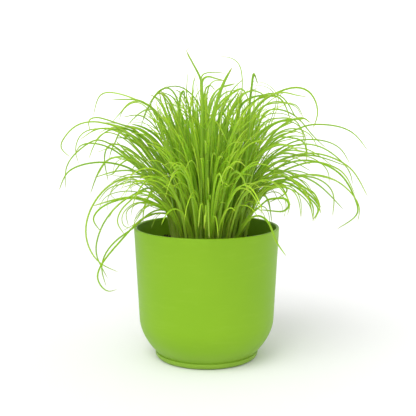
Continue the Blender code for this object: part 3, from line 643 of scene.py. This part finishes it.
def make_long_leaves(mat):
    """The long leaves at the sides, the tall ones and those that arch to the front and back."""
    rng = random.Random(SEEDS["long"])
    for group, leaves, _, facing, sense in SIDES:
        for number, (turn, pixels) in enumerate(leaves, 1):
            plane, line = side_leaf(facing + sense * turn, pixels, LEAF_ROOT_RADIUS[group])
            long_leaf(f"leaf_{group}_{number:02d}", plane, line, rng, mat, SIDE_WIDTHS[group], LONG_FADE)
    for number, ((root_x, lean, pixels), width) in enumerate(zip(TALL_LEAVES, TALL_WIDTHS), 1):
        root_y = -math.copysign(math.sqrt(TALL_ROOT_RADIUS ** 2 - (root_x * MM) ** 2), lean)
        plane = leaning_plane(root_y, lean)
        line = rooted(pixels, plane, root_x * MM, 0)
        long_leaf(f"leaf_tall_{number:02d}", plane, line, rng, mat, width, TALL_FADE, (75, 90))
    for number, (direction, length, root_lean, tip_lean) in enumerate(ARCHING_LEAVES, 1):
        line = arch_line(length * MM, root_lean, tip_lean, ARCH_ROOT_RADIUS)
        long_leaf(f"leaf_arching_{number:02d}", upright_plane(direction), line, rng, mat)


def make_thin_leaves(mat):
    """The thinner leaves of the photograph, with companions to the long ones, as one mesh."""
    rng = random.Random(SEEDS["thin"])
    blades = Blades()
    for _, _, leaves, facing, sense in SIDES:
        for turn, width, pixels in leaves:
            plane, line = side_leaf(facing + sense * (turn + THIN_TURN), pixels, THIN_ROOT_RADIUS)
            roll = random_roll(rng, 35, 75)
            add_leaf(blades, plane, line, THIN_WIDTH * width, roll, rng.random(), 36, THIN_FADE)
    for group, leaves, _, facing, sense in SIDES:
        for turn, pixels in leaves:
            if pixels[0][1] <= LOW_START:
                _, line = side_leaf(facing + sense * turn, pixels, LEAF_ROOT_RADIUS[group])
                add_companion(blades, line, facing + sense * (turn + rng.uniform(-5, 5)), rng)
    for root_x, width, pixels in THIN_TALL:
        front = rng.uniform(-1, 1)
        plane = leaning_plane(-front * THIN_TALL_DEPTH, front * THIN_TALL_LEAN)
        line = rooted(pixels, plane, root_x * MM, 0)
        roll = random_roll(rng, 30, 75)
        add_leaf(blades, plane, line, LEAF_WIDTH * width, roll, rng.random(), 36, THIN_TALL_FADE)
    blades.build("thin_leaves", mat, "leaves")


def wall_radius(height):
    """The pot's outer radius at a height above its shoulder."""
    return SHOULDER_RADIUS + WALL_SLOPE * (height - SHOULDER_HEIGHT)


def meets_wall(line):
    """Whether a line of (distance from the axis, height) places runs into the pot's wall."""
    across, height = np.abs(line[:, 0]), line[:, 1]
    outside = np.minimum(RIM_RADIUS, wall_radius(height))
    return bool(np.any((height < RIM_HEIGHT + WALL_CLEARANCE)
                       & (across > outside - WALL - WALL_CLEARANCE)
                       & (across < outside + WALL_CLEARANCE)))


def add_companion(blades, line, direction, rng):
    """A thinner, shorter leaf that runs almost along a long leaf's line, as leaves of one shoot do."""
    for _ in range(COMPANION_TRIES):
        size = rng.uniform(0.42, 0.72)
        tilt = math.radians(rng.uniform(-5, 5))
        away = (line - line[0]) * size
        turned = line[0] * (0.9, 1) + np.column_stack(
            [away[:, 0] * math.cos(tilt) - away[:, 1] * math.sin(tilt),
             away[:, 0] * math.sin(tilt) + away[:, 1] * math.cos(tilt)])
        if not meets_wall(turned) and turned[-1, 1] > LOWEST_TIP:
            break
    else:
        return
    roll = random_roll(rng, 15, 60)
    width = LEAF_WIDTH * rng.uniform(0.42, 0.72)
    add_leaf(blades, upright_plane(direction), turned, width, roll, rng.random(), 34)


# Leaves that fill the front and the back: how many, how far they turn from there in degrees,
# then the ranges of length and root radius in mm and of the lean at the root and at the tip
FILLING = ((90, 38, (95, 165), (14, 36), (6, 26), (75, 150)),
           (80, 30, (125, 172), (6, 27), (3, 13), (35, 105)),
           (40, 34, (115, 160), (14, 32), (9, 20), (55, 115)))


def make_filling_leaves(mat):
    """Thin arching leaves towards the front and the back, so that the plant is as full there."""
    rng = random.Random(SEEDS["filling"])
    blades = Blades()
    for count, spread, lengths, radii, root_leans, tip_leans in FILLING:
        for i in range(count):
            direction = (-90, 90)[i % 2] + rng.uniform(-spread, spread)
            line = arch_line(rng.uniform(*lengths) * MM, rng.uniform(*root_leans),
                             rng.uniform(*tip_leans), rng.uniform(*radii) * MM)
            if meets_wall(line):
                continue
            width = LEAF_WIDTH * rng.uniform(0.5, 0.85)
            roll = random_roll(rng, 10, 60)
            add_leaf(blades, upright_plane(direction), line, width, roll, rng.random(), 30)
    blades.build("filling_leaves", mat, "leaves")


# The clump: shoots of one rootstock, each with a handful of stems and some leaves of its own
CLUMP_CENTRE = np.array((5, 0, 0)) * MM
CLUMP_RADIUS = 28 * MM
SHOOTS = 46
STEMS_IN_SHOOT = (4, 5, 5, 6)
LEAVES_IN_SHOOT = 2
GOLDEN_ANGLE = math.radians(137.508)
UPRIGHT = np.array((0, 0, 1.0))
STEM_RADIUS = 1.15 * MM
STEM_TIPS = (196 * MM, 258 * MM)  # the heights between which the stems in the middle end
EDGE_DROP = 14 * MM  # how much lower those at the edge end
SIDE_DROP = 12 * MM  # how much lower still those at the sides end
SHEATH_LENGTH = 0.16  # of the stem's length
TUFT_CHANCE = 0.34  # about every third stem ends in a tuft
TUFT_LEAVES = (3, 4, 4, 5)
TUFT_STATIONS = 16
TUFT_SWAY = 3  # how fast its leaves turn aside, per metre


def sweep(root, direction, lean, tip_lean, power, length, stations):
    """A line that leans from upright in a direction, more and more from its root to its tip."""
    share = np.linspace(0, 1, stations)
    angle = np.radians(lean + (tip_lean - lean) * share ** power)
    heading = np.sin(angle)[:, None] * direction + np.cos(angle)[:, None] * UPRIGHT
    steps = heading[:-1] * (length / (stations - 1))
    return root + np.vstack([np.zeros((1, 3)), np.cumsum(steps, axis=0)]), heading


def drooping(start, direction, length, droop, rng):
    """A line in space that sets out in a direction and sinks more and more under its weight."""
    points = [np.array(start, float)]
    heading = np.array(direction, float)
    drift = np.array((rng.uniform(-1, 1), rng.uniform(-1, 1), 0)) * TUFT_SWAY
    step = length / (TUFT_STATIONS - 1)
    for i in range(TUFT_STATIONS - 1):
        share = i / (TUFT_STATIONS - 1)
        sinking = np.array((0, 0, -droop)) * (0.3 + 1.4 * share)
        heading = heading + (sinking + drift) * step
        heading /= np.linalg.norm(heading)
        points.append(points[-1] + heading * step)
    return np.array(points)


def level(angle):
    """A level direction in space, from its angle in radians."""
    return np.array((math.cos(angle), math.sin(angle), 0))


def scattered(base, spread, rng):
    """A place near the foot of a shoot."""
    angle, reach = rng.uniform(0, math.tau), rng.uniform(0.4, 1) * spread
    return base + level(angle) * reach


def make_clump(stem_mat, leaf_mat):
    """The upright middle of the plant: stems in small groups, the leaves among them, and tufts."""
    rng = random.Random(SEEDS["clump"])
    stems, leaves = Blades(), Blades()
    section = stem_section()
    for k in range(SHOOTS):
        share = math.sqrt((k + 0.5) / SHOOTS)
        around = k * GOLDEN_ANGLE + rng.uniform(-0.35, 0.35)
        outward = level(around)
        base = CLUMP_CENTRE + outward * CLUMP_RADIUS * share
        base[2] = ROOT_HEIGHT
        # Outer shoots lean out more, a little less so at the sides
        steeper = share * (0.15 + 0.15 * abs(outward[0]))
        lean = (2 + 9 * share) * (1 - steeper) + rng.uniform(-3, 3)
        for _ in range(rng.choice(STEMS_IN_SHOOT)):
            turn = around + rng.uniform(-0.9, 0.9) * (1.6 - share)
            grow_stem(stems, leaves, section, base, turn, lean, share, rng)
        for _ in range(LEAVES_IN_SHOOT):
            turn = around + rng.uniform(-1.3, 1.3) * (1.5 - share)
            grow_core_leaf(leaves, base, turn, lean, share, rng)
    stems.build("stems", stem_mat, "stems", ["stem_clump"])
    leaves.build("stem_leaves", leaf_mat, "leaves")


def grow_stem(stems, leaves, section, base, turn, lean, share, rng):
    """One ribbed stem, thick at its sheathed foot, and for every third one a tuft at its end."""
    direction = level(turn)
    lean = max(0.0, lean + rng.uniform(-3, 4))
    tip_lean = lean + rng.uniform(3, 14) * (0.4 + share)
    root = scattered(base, 2.6 * MM, rng)
    top = rng.uniform(*STEM_TIPS) - (EDGE_DROP + SIDE_DROP * direction[0] ** 2) * share ** 2
    length = (top - root[2]) / math.cos(math.radians((lean + tip_lean) / 2))
    points, heading = sweep(root, direction, lean, tip_lean, 1.5, length, stations=14)
    run = np.linspace(0, 1, len(points))
    _, sides, ups = frames_along(points, np.cross(direction, UPRIGHT))
    # It narrows towards its top, and sheaths make it thicker at the foot
    foot = np.clip(1 - run / SHEATH_LENGTH, 0, 1)
    radius = STEM_RADIUS * (1 - 0.45 * run + 0.4 * foot) * rng.uniform(0.8, 1.15)
    tone = rng.random()
    stems.add(points, sides, ups, radius, radius, radius * 0, tone, section)
    if rng.random() < TUFT_CHANCE:
        add_tuft(leaves, points[-2], heading[-1], tone, rng)


def grow_core_leaf(leaves, base, turn, lean, share, rng):
    """A blade that rises among the stems and bends over near its end."""
    direction = level(turn)
    sideways = abs(direction[0]) * share
    tip_lean = rng.uniform(30, 120 - 70 * sideways)
    power = rng.uniform(2.4, 4.5)
    root = scattered(base, 2.2 * MM, rng)
    length = rng.uniform(112, 166) * MM * (1 - 0.16 * sideways)
    points, _ = sweep(root, direction, lean, tip_lean, power, length, stations=26)
    ahead, sides, ups = frames_along(points, np.cross(direction, UPRIGHT))
    run = np.linspace(0, 1, len(points))
    roll = np.radians(rng.uniform(-60, 60) * run)[:, None]
    side = sides * np.cos(roll) + ups * np.sin(roll)
    up = np.cross(ahead, side)
    narrowing = taper(run, LEAF_FADE, tip_power=7)
    width = rng.uniform(1.5, 2.3) * MM
    leaves.add(points, side, -up, width / 2 * narrowing, 0.4 * width * narrowing,
               blade_thickness(width, narrowing), rng.random())


def add_tuft(tufts, start, direction, tone, rng):
    """The thin leaves at the end of one stem."""
    count = rng.choice(TUFT_LEAVES)
    turn = rng.uniform(0, math.tau)
    ahead = direction / np.linalg.norm(direction)
    across = np.cross(ahead, (0, 1, 0))
    across /= np.linalg.norm(across)
    other = np.cross(ahead, across)
    along = np.linspace(0, 1, TUFT_STATIONS)
    narrowing = taper(along, fade=0.6, tip_power=5, root_width=0.55, root_length=0.2)
    for k in range(count):
        angle = turn + k * math.tau / count + rng.uniform(-0.4, 0.4)
        spread = math.radians(rng.uniform(12, 40))
        sidewards = math.cos(angle) * across + math.sin(angle) * other
        heading = ahead * math.cos(spread) + sidewards * math.sin(spread)
        length = rng.uniform(18, 46) * MM
        points = drooping(start, heading, length, rng.uniform(8, 34), rng)
        _, sides, ups = frames_along(points, np.cross(sidewards, ahead))
        half = rng.uniform(0.45, 0.7) * MM
        tufts.add(points, sides, -ups, half * narrowing, 0.8 * half * narrowing,
                  0.3 * half * (0.4 + narrowing), (tone + rng.uniform(-0.15, 0.15)) % 1)


def arc(centre, radius, start, end, steps):
    """Points on an arc in the (radius, height) plane, angles in degrees."""
    angles = [math.radians(start + (end - start) * i / steps) for i in range(steps + 1)]
    return [(centre[0] + radius * math.cos(a), centre[1] + radius * math.sin(a)) for a in angles]


def bezier(start, control, end, steps):
    """Points on a quadratic curve in the (radius, height) plane."""
    points = []
    for i in range(steps + 1):
        t = i / steps
        points.append(tuple((1 - t) ** 2 * a + 2 * t * (1 - t) * b + t * t * c
                            for a, b, c in zip(start, control, end)))
    return points


def circle(radius, sides):
    """Places round the pot's axis, as (x, y)."""
    angles = [math.tau * i / sides for i in range(sides)]
    return [(radius * math.cos(a), radius * math.sin(a)) for a in angles]


def turned_mesh(name, profile, sides):
    """A mesh turned about +Z from a (radius, height) profile, whose zero radii are on the axis."""
    verts, rings = [], []
    for radius, height in profile:
        places = circle(radius, sides) if radius else [(0, 0)]
        rings.append(range(len(verts), len(verts) + len(places)))
        verts += [(x, y, height) for x, y in places]
    faces = []
    for low, high in zip(rings, rings[1:]):
        for i in range(sides):
            j = (i + 1) % sides
            if len(low) == 1:
                faces.append((low[0], high[j], high[i]))
            elif len(high) == 1:
                faces.append((low[i], low[j], high[0]))
            else:
                faces.append((low[i], low[j], high[j], high[i]))
    return new_mesh(name, verts, faces)


def make_pot(mat):
    """The moulded pot, with fine curves at the foot and the rim."""
    bend_height = SHOULDER_HEIGHT - LOWER_BEND
    groove = [(WAIST_RADIUS + out, FOOT_HEIGHT + up) for out, up in FOOT_GROOVE]
    profile = [(0, 0), (BASE_RING, 0)]
    profile += arc((FOOT_RADIUS - FOOT_ROUND, FOOT_ROUND), FOOT_ROUND, -90, 0, steps=10)
    profile += arc((FOOT_RADIUS - FOOT_EDGE, FOOT_HEIGHT - FOOT_EDGE_DROP), FOOT_EDGE, 0, 90, steps=3)
    profile += groove[:2]
    profile += bezier(groove[2], (SHOULDER_RADIUS - WALL_SLOPE * LOWER_BEND, bend_height),
                      (SHOULDER_RADIUS, SHOULDER_HEIGHT), steps=22)
    rim_low = RIM_HEIGHT - RIM_ROUND
    steps = 14
    for i in range(1, steps):
        height = SHOULDER_HEIGHT + (rim_low - SHOULDER_HEIGHT) * i / steps
        profile.append((wall_radius(height), height))
    profile += arc((RIM_RADIUS - RIM_ROUND, rim_low), RIM_ROUND, 0, 90, steps=6)
    profile += arc((RIM_RADIUS - WALL + RIM_ROUND, rim_low), RIM_ROUND, 90, 180, steps=6)
    inside = SHOULDER_RADIUS - WALL
    inner_bend = (inside - WALL_SLOPE * LOWER_BEND, bend_height)
    inner_foot = (WAIST_RADIUS - WALL, FLOOR)
    profile += reversed(bezier(inner_foot, inner_bend, (inside, SHOULDER_HEIGHT), steps=8))
    profile.append((0, FLOOR))
    finish_piece(turned_mesh("pot_shell", profile, POT_SIDES), mat, ["pot"], sharp=35)


SOIL_SINK = 1.6 * MM  # of its mean level below the top
SOIL_DEPTH = 12 * MM  # down to where the wall hides it
SOIL_RINGS = 30
SOIL_SIDES = 120
INNERMOST = 0.4  # radius of the first ring, in steps between rings
CRUMBS = 1500


def relief(place, height, size):
    """How far lumps of one height and size rise or sink at a place of the noise."""
    return height * noise.noise(Vector(place) / size)


def lumps(x, y):
    """The larger relief of the soil."""
    return relief((x, y, 0), 3.2 * MM, 9 * MM)


def make_soil(mat):
    """Lumpy soil with loose crumbs lying on it, closed below."""
    verts = []
    for k in range(SOIL_RINGS + 1):
        for x, y in circle(SOIL_RADIUS * (k + INNERMOST) / (SOIL_RINGS + INNERMOST), SOIL_SIDES):
            grit = relief((x, y, 5 * MM), 1.2 * MM, 2.6 * MM)
            verts.append((x, y, SOIL_TOP - SOIL_SINK + lumps(x, y) + grit))
    for x, y in circle(SOIL_RADIUS - WALL_SLOPE * SOIL_DEPTH, SOIL_SIDES):
        verts.append((x, y, SOIL_TOP - SOIL_DEPTH))
    rings = [range(k * SOIL_SIDES, (k + 1) * SOIL_SIDES) for k in range(SOIL_RINGS + 2)]
    faces = [tuple(rings[0]), tuple(reversed(rings[-1]))]
    for low, high in zip(rings, rings[1:]):
        for i in range(SOIL_SIDES):
            j = (i + 1) % SOIL_SIDES
            faces.append((low[i], high[i], high[j], low[j]))
    rng = random.Random(SEEDS["soil"])
    for _ in range(CRUMBS):
        add_crumb(verts, faces, rng)
    finish_piece(new_mesh("soil_surface", verts, faces), mat, ["soil"], sharp=60)


def add_crumb(verts, faces, rng):
    """One loose crumb: an uneven eight-sided lump half sunk in the soil."""
    radius = (SOIL_RADIUS - 2 * MM) * math.sqrt(rng.random())
    x, y, _ = level(rng.uniform(0, math.tau)) * radius
    size = rng.uniform(0.5, 1.7) * MM
    height = SOIL_TOP - 1.4 * MM + lumps(x, y)
    turn = rng.uniform(0, math.tau)
    first = len(verts)
    for k in range(4):
        around = turn + k * math.pi / 2
        reach = size * rng.uniform(0.7, 1.2)
        verts.append((x + reach * math.cos(around), y + reach * math.sin(around),
                      height + rng.uniform(-0.2, 0.2) * size))
    verts.append((x, y, height + size * rng.uniform(0.5, 0.9)))
    verts.append((x, y, height - size * 0.7))
    for k in range(4):
        j = (k + 1) % 4
        faces.append((first + k, first + j, first + 4))
        faces.append((first + j, first + k, first + 5))


# Colours, in linear light. The greens of a blade are its dark, middle and light tone and its root.
BLADE_GREENS = ((0.18, 0.34, 0.012), (0.245, 0.43, 0.018), (0.32, 0.51, 0.034), (0.36, 0.44, 0.12))
# Lighter copies of the blade greens, for the leaves among the stems and at the front and back: painted
# light that lifts the shade inside the clump. The blade greens above are kept darker, for the outer
# leaves that the lamps light fully.
PAINTED_LIGHT_GREENS = ((0.30, 0.56, 0.018), (0.40, 0.69, 0.03), (0.50, 0.80, 0.06), (0.45, 0.55, 0.16))
DRY_TIP = (0.40, 0.33, 0.09)
# The stems' greens are lifted as far as the lighter leaf greens: painted light against the shade among
# the stems.
STEM_GREENS = ((0.29, 0.58, 0.025), (0.40, 0.71, 0.035), (0.50, 0.80, 0.055))
RIB_GREEN = (0.22, 0.46, 0.02)
SHEATH_RUSSET, SHEATH_TAN = (0.26, 0.13, 0.045), (0.52, 0.42, 0.15)
POT_GREENS = ((0.204, 0.42, 0.006), (0.246, 0.462, 0.01))
SCUFF_GREEN = (0.38, 0.62, 0.07)
DUST = (0.30, 0.40, 0.10)
SOIL_BROWNS = ((0.012, 0.007, 0.004), (0.045, 0.026, 0.015), (0.10, 0.062, 0.036))
FIBRE_BROWN = (0.22, 0.15, 0.08)
FLOOR_GREYS = ((0.90, 0.90, 0.895), (0.93, 0.93, 0.93))


class Shader:
    """A material's nodes, with short calls to add and join them."""

    def __init__(self, name):
        self.mat = bpy.data.materials.new(name)
        self.mat.use_nodes = True
        self.nodes = self.mat.node_tree.nodes
        self.links = self.mat.node_tree.links
        self.surface = self.nodes["Principled BSDF"]

    def add(self, kind, **settings):
        """A new node, with its settings or, for names that it doesn't have, its inputs."""
        node = self.nodes.new(kind)
        for key, value in settings.items():
            if hasattr(node, key):
                setattr(node, key, value)
            else:
                self.feed(node.inputs[key.replace("_", " ")], value)
        return node

    def feed(self, socket, value):
        """Give a socket a constant, a plain colour or another node's output."""
        if isinstance(value, bpy.types.NodeSocket):
            self.links.new(value, socket)
        else:
            socket.default_value = (*value, 1) if socket.type == "RGBA" else value

    def mix(self, factor, first, second):
        """Mix two colours, each a plain colour or another node's output."""
        node = self.add("ShaderNodeMix", data_type="RGBA")
        for i, value in ((0, factor), (6, first), (7, second)):
            self.feed(node.inputs[i], value)
        return node.outputs[2]

    def ramp(self, value, stops):
        """A ramp of (place, colour) stops, where a single number is a grey."""
        node = self.add("ShaderNodeValToRGB")
        elements = node.color_ramp.elements
        for stop, _ in stops[2:]:
            elements.new(stop)
        for element, (stop, colour) in zip(sorted(elements, key=lambda e: e.position), stops):
            element.position = stop
            element.color = (*colour, 1) if isinstance(colour, tuple) else (colour, colour, colour, 1)
        self.feed(node.inputs[0], value)
        return node.outputs[0]

    def noise(self, coords, scale, detail=4.0, rough=0.55):
        """Noise over coordinates, from 0 to 1."""
        node = self.add("ShaderNodeTexNoise", Scale=scale, Detail=detail, Roughness=rough, Vector=coords)
        return node.outputs["Fac"]

    def span(self, value, low, high, until=1.0):
        """Stretch a value that runs from 0 to until, so that it runs from low to high."""
        node = self.add("ShaderNodeMapRange", From_Max=until, To_Min=low, To_Max=high, Value=value)
        return node.outputs["Result"]

    def stretch(self, coords, scale):
        """Coordinates that are scaled along each axis."""
        return self.add("ShaderNodeMapping", Scale=scale, Vector=coords).outputs["Vector"]

    def bump(self, height, strength, distance):
        """Small relief of the whole surface."""
        node = self.add("ShaderNodeBump", Strength=strength, Distance=distance, Height=height)
        self.feed(self.surface.inputs["Normal"], node.outputs["Normal"])

    def finish(self, **inputs):
        """Give the surface's inputs and hand over the material."""
        for key, value in inputs.items():
            self.feed(self.surface.inputs[key.replace("_", " ")], value)
        return self.mat


def blade_shader(name):
    """A new material, with a blade's tone, the share of its length and its pattern's coordinates."""
    s = Shader(name)
    tone, share = (s.add("ShaderNodeAttribute", attribute_name=label).outputs["Fac"]
                   for label in ("tone", "share"))
    return s, tone, share, s.add("ShaderNodeUVMap", uv_map="along").outputs["UV"]


def leaf_material(name, dark, middle, light, root_green):
    """Fresh green blades: a tone per blade, fine veins along it, a paler root and a dry tip."""
    s, tone, share, uv = blade_shader(name)
    base = s.ramp(tone, ((0.0, dark), (0.55, middle), (1.0, light)))
    veins = s.noise(s.stretch(uv, (26, 0.7, 1)), 1.0, 3.0)
    base = s.mix(s.span(veins, 0.0, 0.3), base, dark)
    patches = s.noise(s.stretch(uv, (1.5, 2.2, 1)), 1.6, 3.0)
    base = s.mix(s.span(patches, 0.0, 0.35), base, light)
    base = s.mix(s.ramp(share, ((0.0, 0.75), (0.16, 0.0), (1.0, 0.0))), base, root_green)
    base = s.mix(s.ramp(share, ((0.0, 0.0), (0.95, 0.0), (1.0, 0.5))), base, DRY_TIP)
    s.bump(veins, strength=0.5, distance=0.25 * MM)
    return s.finish(Base_Color=base, Roughness=s.span(patches, 0.42, 0.6), Specular_IOR_Level=0.35,
                    Subsurface_Weight=0.5, Subsurface_Radius=(0.6, 1.0, 0.15), Subsurface_Scale=2 * MM)


def stem_material():
    """Green stems that are ribbed, and tan and russet where the old sheaths clasp them."""
    s, tone, share, uv = blade_shader("stem_skin")
    base = s.ramp(tone, tuple(zip((0.0, 0.5, 1.0), STEM_GREENS)))
    ribs = s.noise(s.stretch(uv, (18, 0.6, 1)), 1.0, 3.0)
    base = s.mix(s.span(ribs, 0.0, 0.35), base, RIB_GREEN)
    sheath = s.ramp(share, ((0.0, 0.8), (0.08, 0.45), (0.2, 0.0)))
    husk = s.mix(s.noise(s.stretch(uv, (6, 3, 1)), 1.0, 3.0), SHEATH_RUSSET, SHEATH_TAN)
    base = s.mix(sheath, base, husk)
    s.bump(ribs, strength=0.6, distance=0.3 * MM)
    return s.finish(Base_Color=base, Roughness=s.span(ribs, 0.4, 0.6), Specular_IOR_Level=0.35)


def pot_material():
    """Lime green moulded plastic: faintly clouded, with a fine grain and dust by the foot."""
    s = Shader("lime_plastic")
    where = s.add("ShaderNodeTexCoord").outputs["Object"]
    clouds = s.noise(where, 18.0, 3.0)
    grain = s.noise(where, 900.0, 2.0)
    scuffs = s.noise(s.stretch(where, (30, 30, 220)), 1.0, 5.0, 0.7)
    base = s.mix(s.span(clouds, 0.15, 0.85), *POT_GREENS)
    base = s.mix(s.span(scuffs, -0.25, 0.22), base, SCUFF_GREEN)
    height = s.add("ShaderNodeSeparateXYZ", Vector=where).outputs["Z"]
    base = s.mix(s.span(height, 0.35, 0.0, until=20 * MM), base, DUST)
    s.bump(grain, strength=0.25, distance=0.2 * MM)
    return s.finish(Base_Color=base, Roughness=s.span(scuffs, 0.36, 0.56), Specular_IOR_Level=0.28)


def soil_material():
    """Dark crumbly earth with lighter fibres."""
    s = Shader("potting_earth")
    where = s.add("ShaderNodeTexCoord").outputs["Object"]
    clods = s.noise(where, 160.0, 5.0, 0.65)
    fibres = s.noise(s.stretch(where, (300, 70, 100)), 1.0, 4.0, 0.6)
    base = s.ramp(clods, tuple(zip((0.3, 0.55, 0.75), SOIL_BROWNS)))
    base = s.mix(s.ramp(fibres, ((0.6, 0.0), (0.72, 0.7))), base, FIBRE_BROWN)
    s.bump(clods, strength=0.9, distance=1.2 * MM)
    return s.finish(Base_Color=base, Roughness=s.span(clods, 0.8, 1.0), Specular_IOR_Level=0.2)


def floor_material():
    """A pale matt surface with faint clouds."""
    s = Shader("pale_floor")
    clouds = s.noise(s.add("ShaderNodeTexCoord").outputs["Object"], 2.0, 2.0)
    return s.finish(Base_Color=s.mix(clouds, *FLOOR_GREYS), Roughness=0.9, Specular_IOR_Level=0.1)


# The stage, in metres, and its lights
STAGE_RINGS = (0, 0.4, 1.2)
STAGE_RADIUS = 2.6
STAGE_CURVE = 0.8
STAGE_TOP = 1.6
STAGE_SIDES = 96
SURROUND = 0.66  # brightness of the white all round

# Name, direction that it shines in, strength and softness in degrees
LIGHTS = (
    ("key", (0.42, 0.55, -1.0), 1.35, 38),
    ("fill", (-0.9, 0.6, -0.5), 0.3, 60),
    ("front", (0.1, 1.0, -0.62), 0.8, 40),
)


def make_stage():
    """A pale floor that curves up all round, far behind the plant."""
    profile = [(radius, 0) for radius in STAGE_RINGS]
    profile += arc((STAGE_RADIUS, STAGE_CURVE), STAGE_CURVE, -90, 0, steps=10)
    profile += [(STAGE_RADIUS + STAGE_CURVE, STAGE_TOP)]
    mesh = turned_mesh("floor", profile, STAGE_SIDES)
    mesh.materials.append(floor_material())
    mesh.shade_smooth()
    place("floor", mesh)


def make_light():
    """Plain soft studio light: an even white surround, a soft key light and two weaker fills."""
    world = bpy.data.worlds.new("studio")
    world.use_nodes = True
    background = world.node_tree.nodes["Background"]
    background.inputs["Color"].default_value = (1, 1, 1, 1)
    background.inputs["Strength"].default_value = SURROUND
    bpy.context.scene.world = world
    bpy.context.scene.view_settings.view_transform = "Standard"
    for name, towards, strength, softness in LIGHTS:
        lamp = bpy.data.lights.new(name, "SUN")
        lamp.energy = strength
        lamp.angle = math.radians(softness)
        place(name, lamp).rotation_euler = Vector(towards).to_track_quat("-Z", "Y").to_euler()


def make_camera():
    """The camera of the photograph."""
    aim, _, eye = camera_axes()
    data = bpy.data.cameras.new("camera")
    data.sensor_width = SENSOR_WIDTH
    data.lens = SENSOR_WIDTH * FOCAL_PIXELS / PHOTO_SIZE
    camera = place("camera", data)
    camera.location = eye
    camera.rotation_euler = aim.to_track_quat("-Z", "Y").to_euler()
    bpy.context.scene.camera = camera


def main():
    """Build the whole picture: the camera, the light, the floor and the plant in its pot."""
    make_camera()
    make_light()
    make_stage()
    blade_green = leaf_material("leaf_blades", *BLADE_GREENS)
    # Two copies of one leaf material: the lighter one paints light into the shaded clump and into the
    # filling leaves.
    painted_light_green = leaf_material("painted_light_blades", *PAINTED_LIGHT_GREENS)
    make_pot(pot_material())
    make_soil(soil_material())
    make_clump(stem_material(), painted_light_green)
    make_long_leaves(blade_green)
    make_thin_leaves(blade_green)
    make_filling_leaves(painted_light_green)


main()
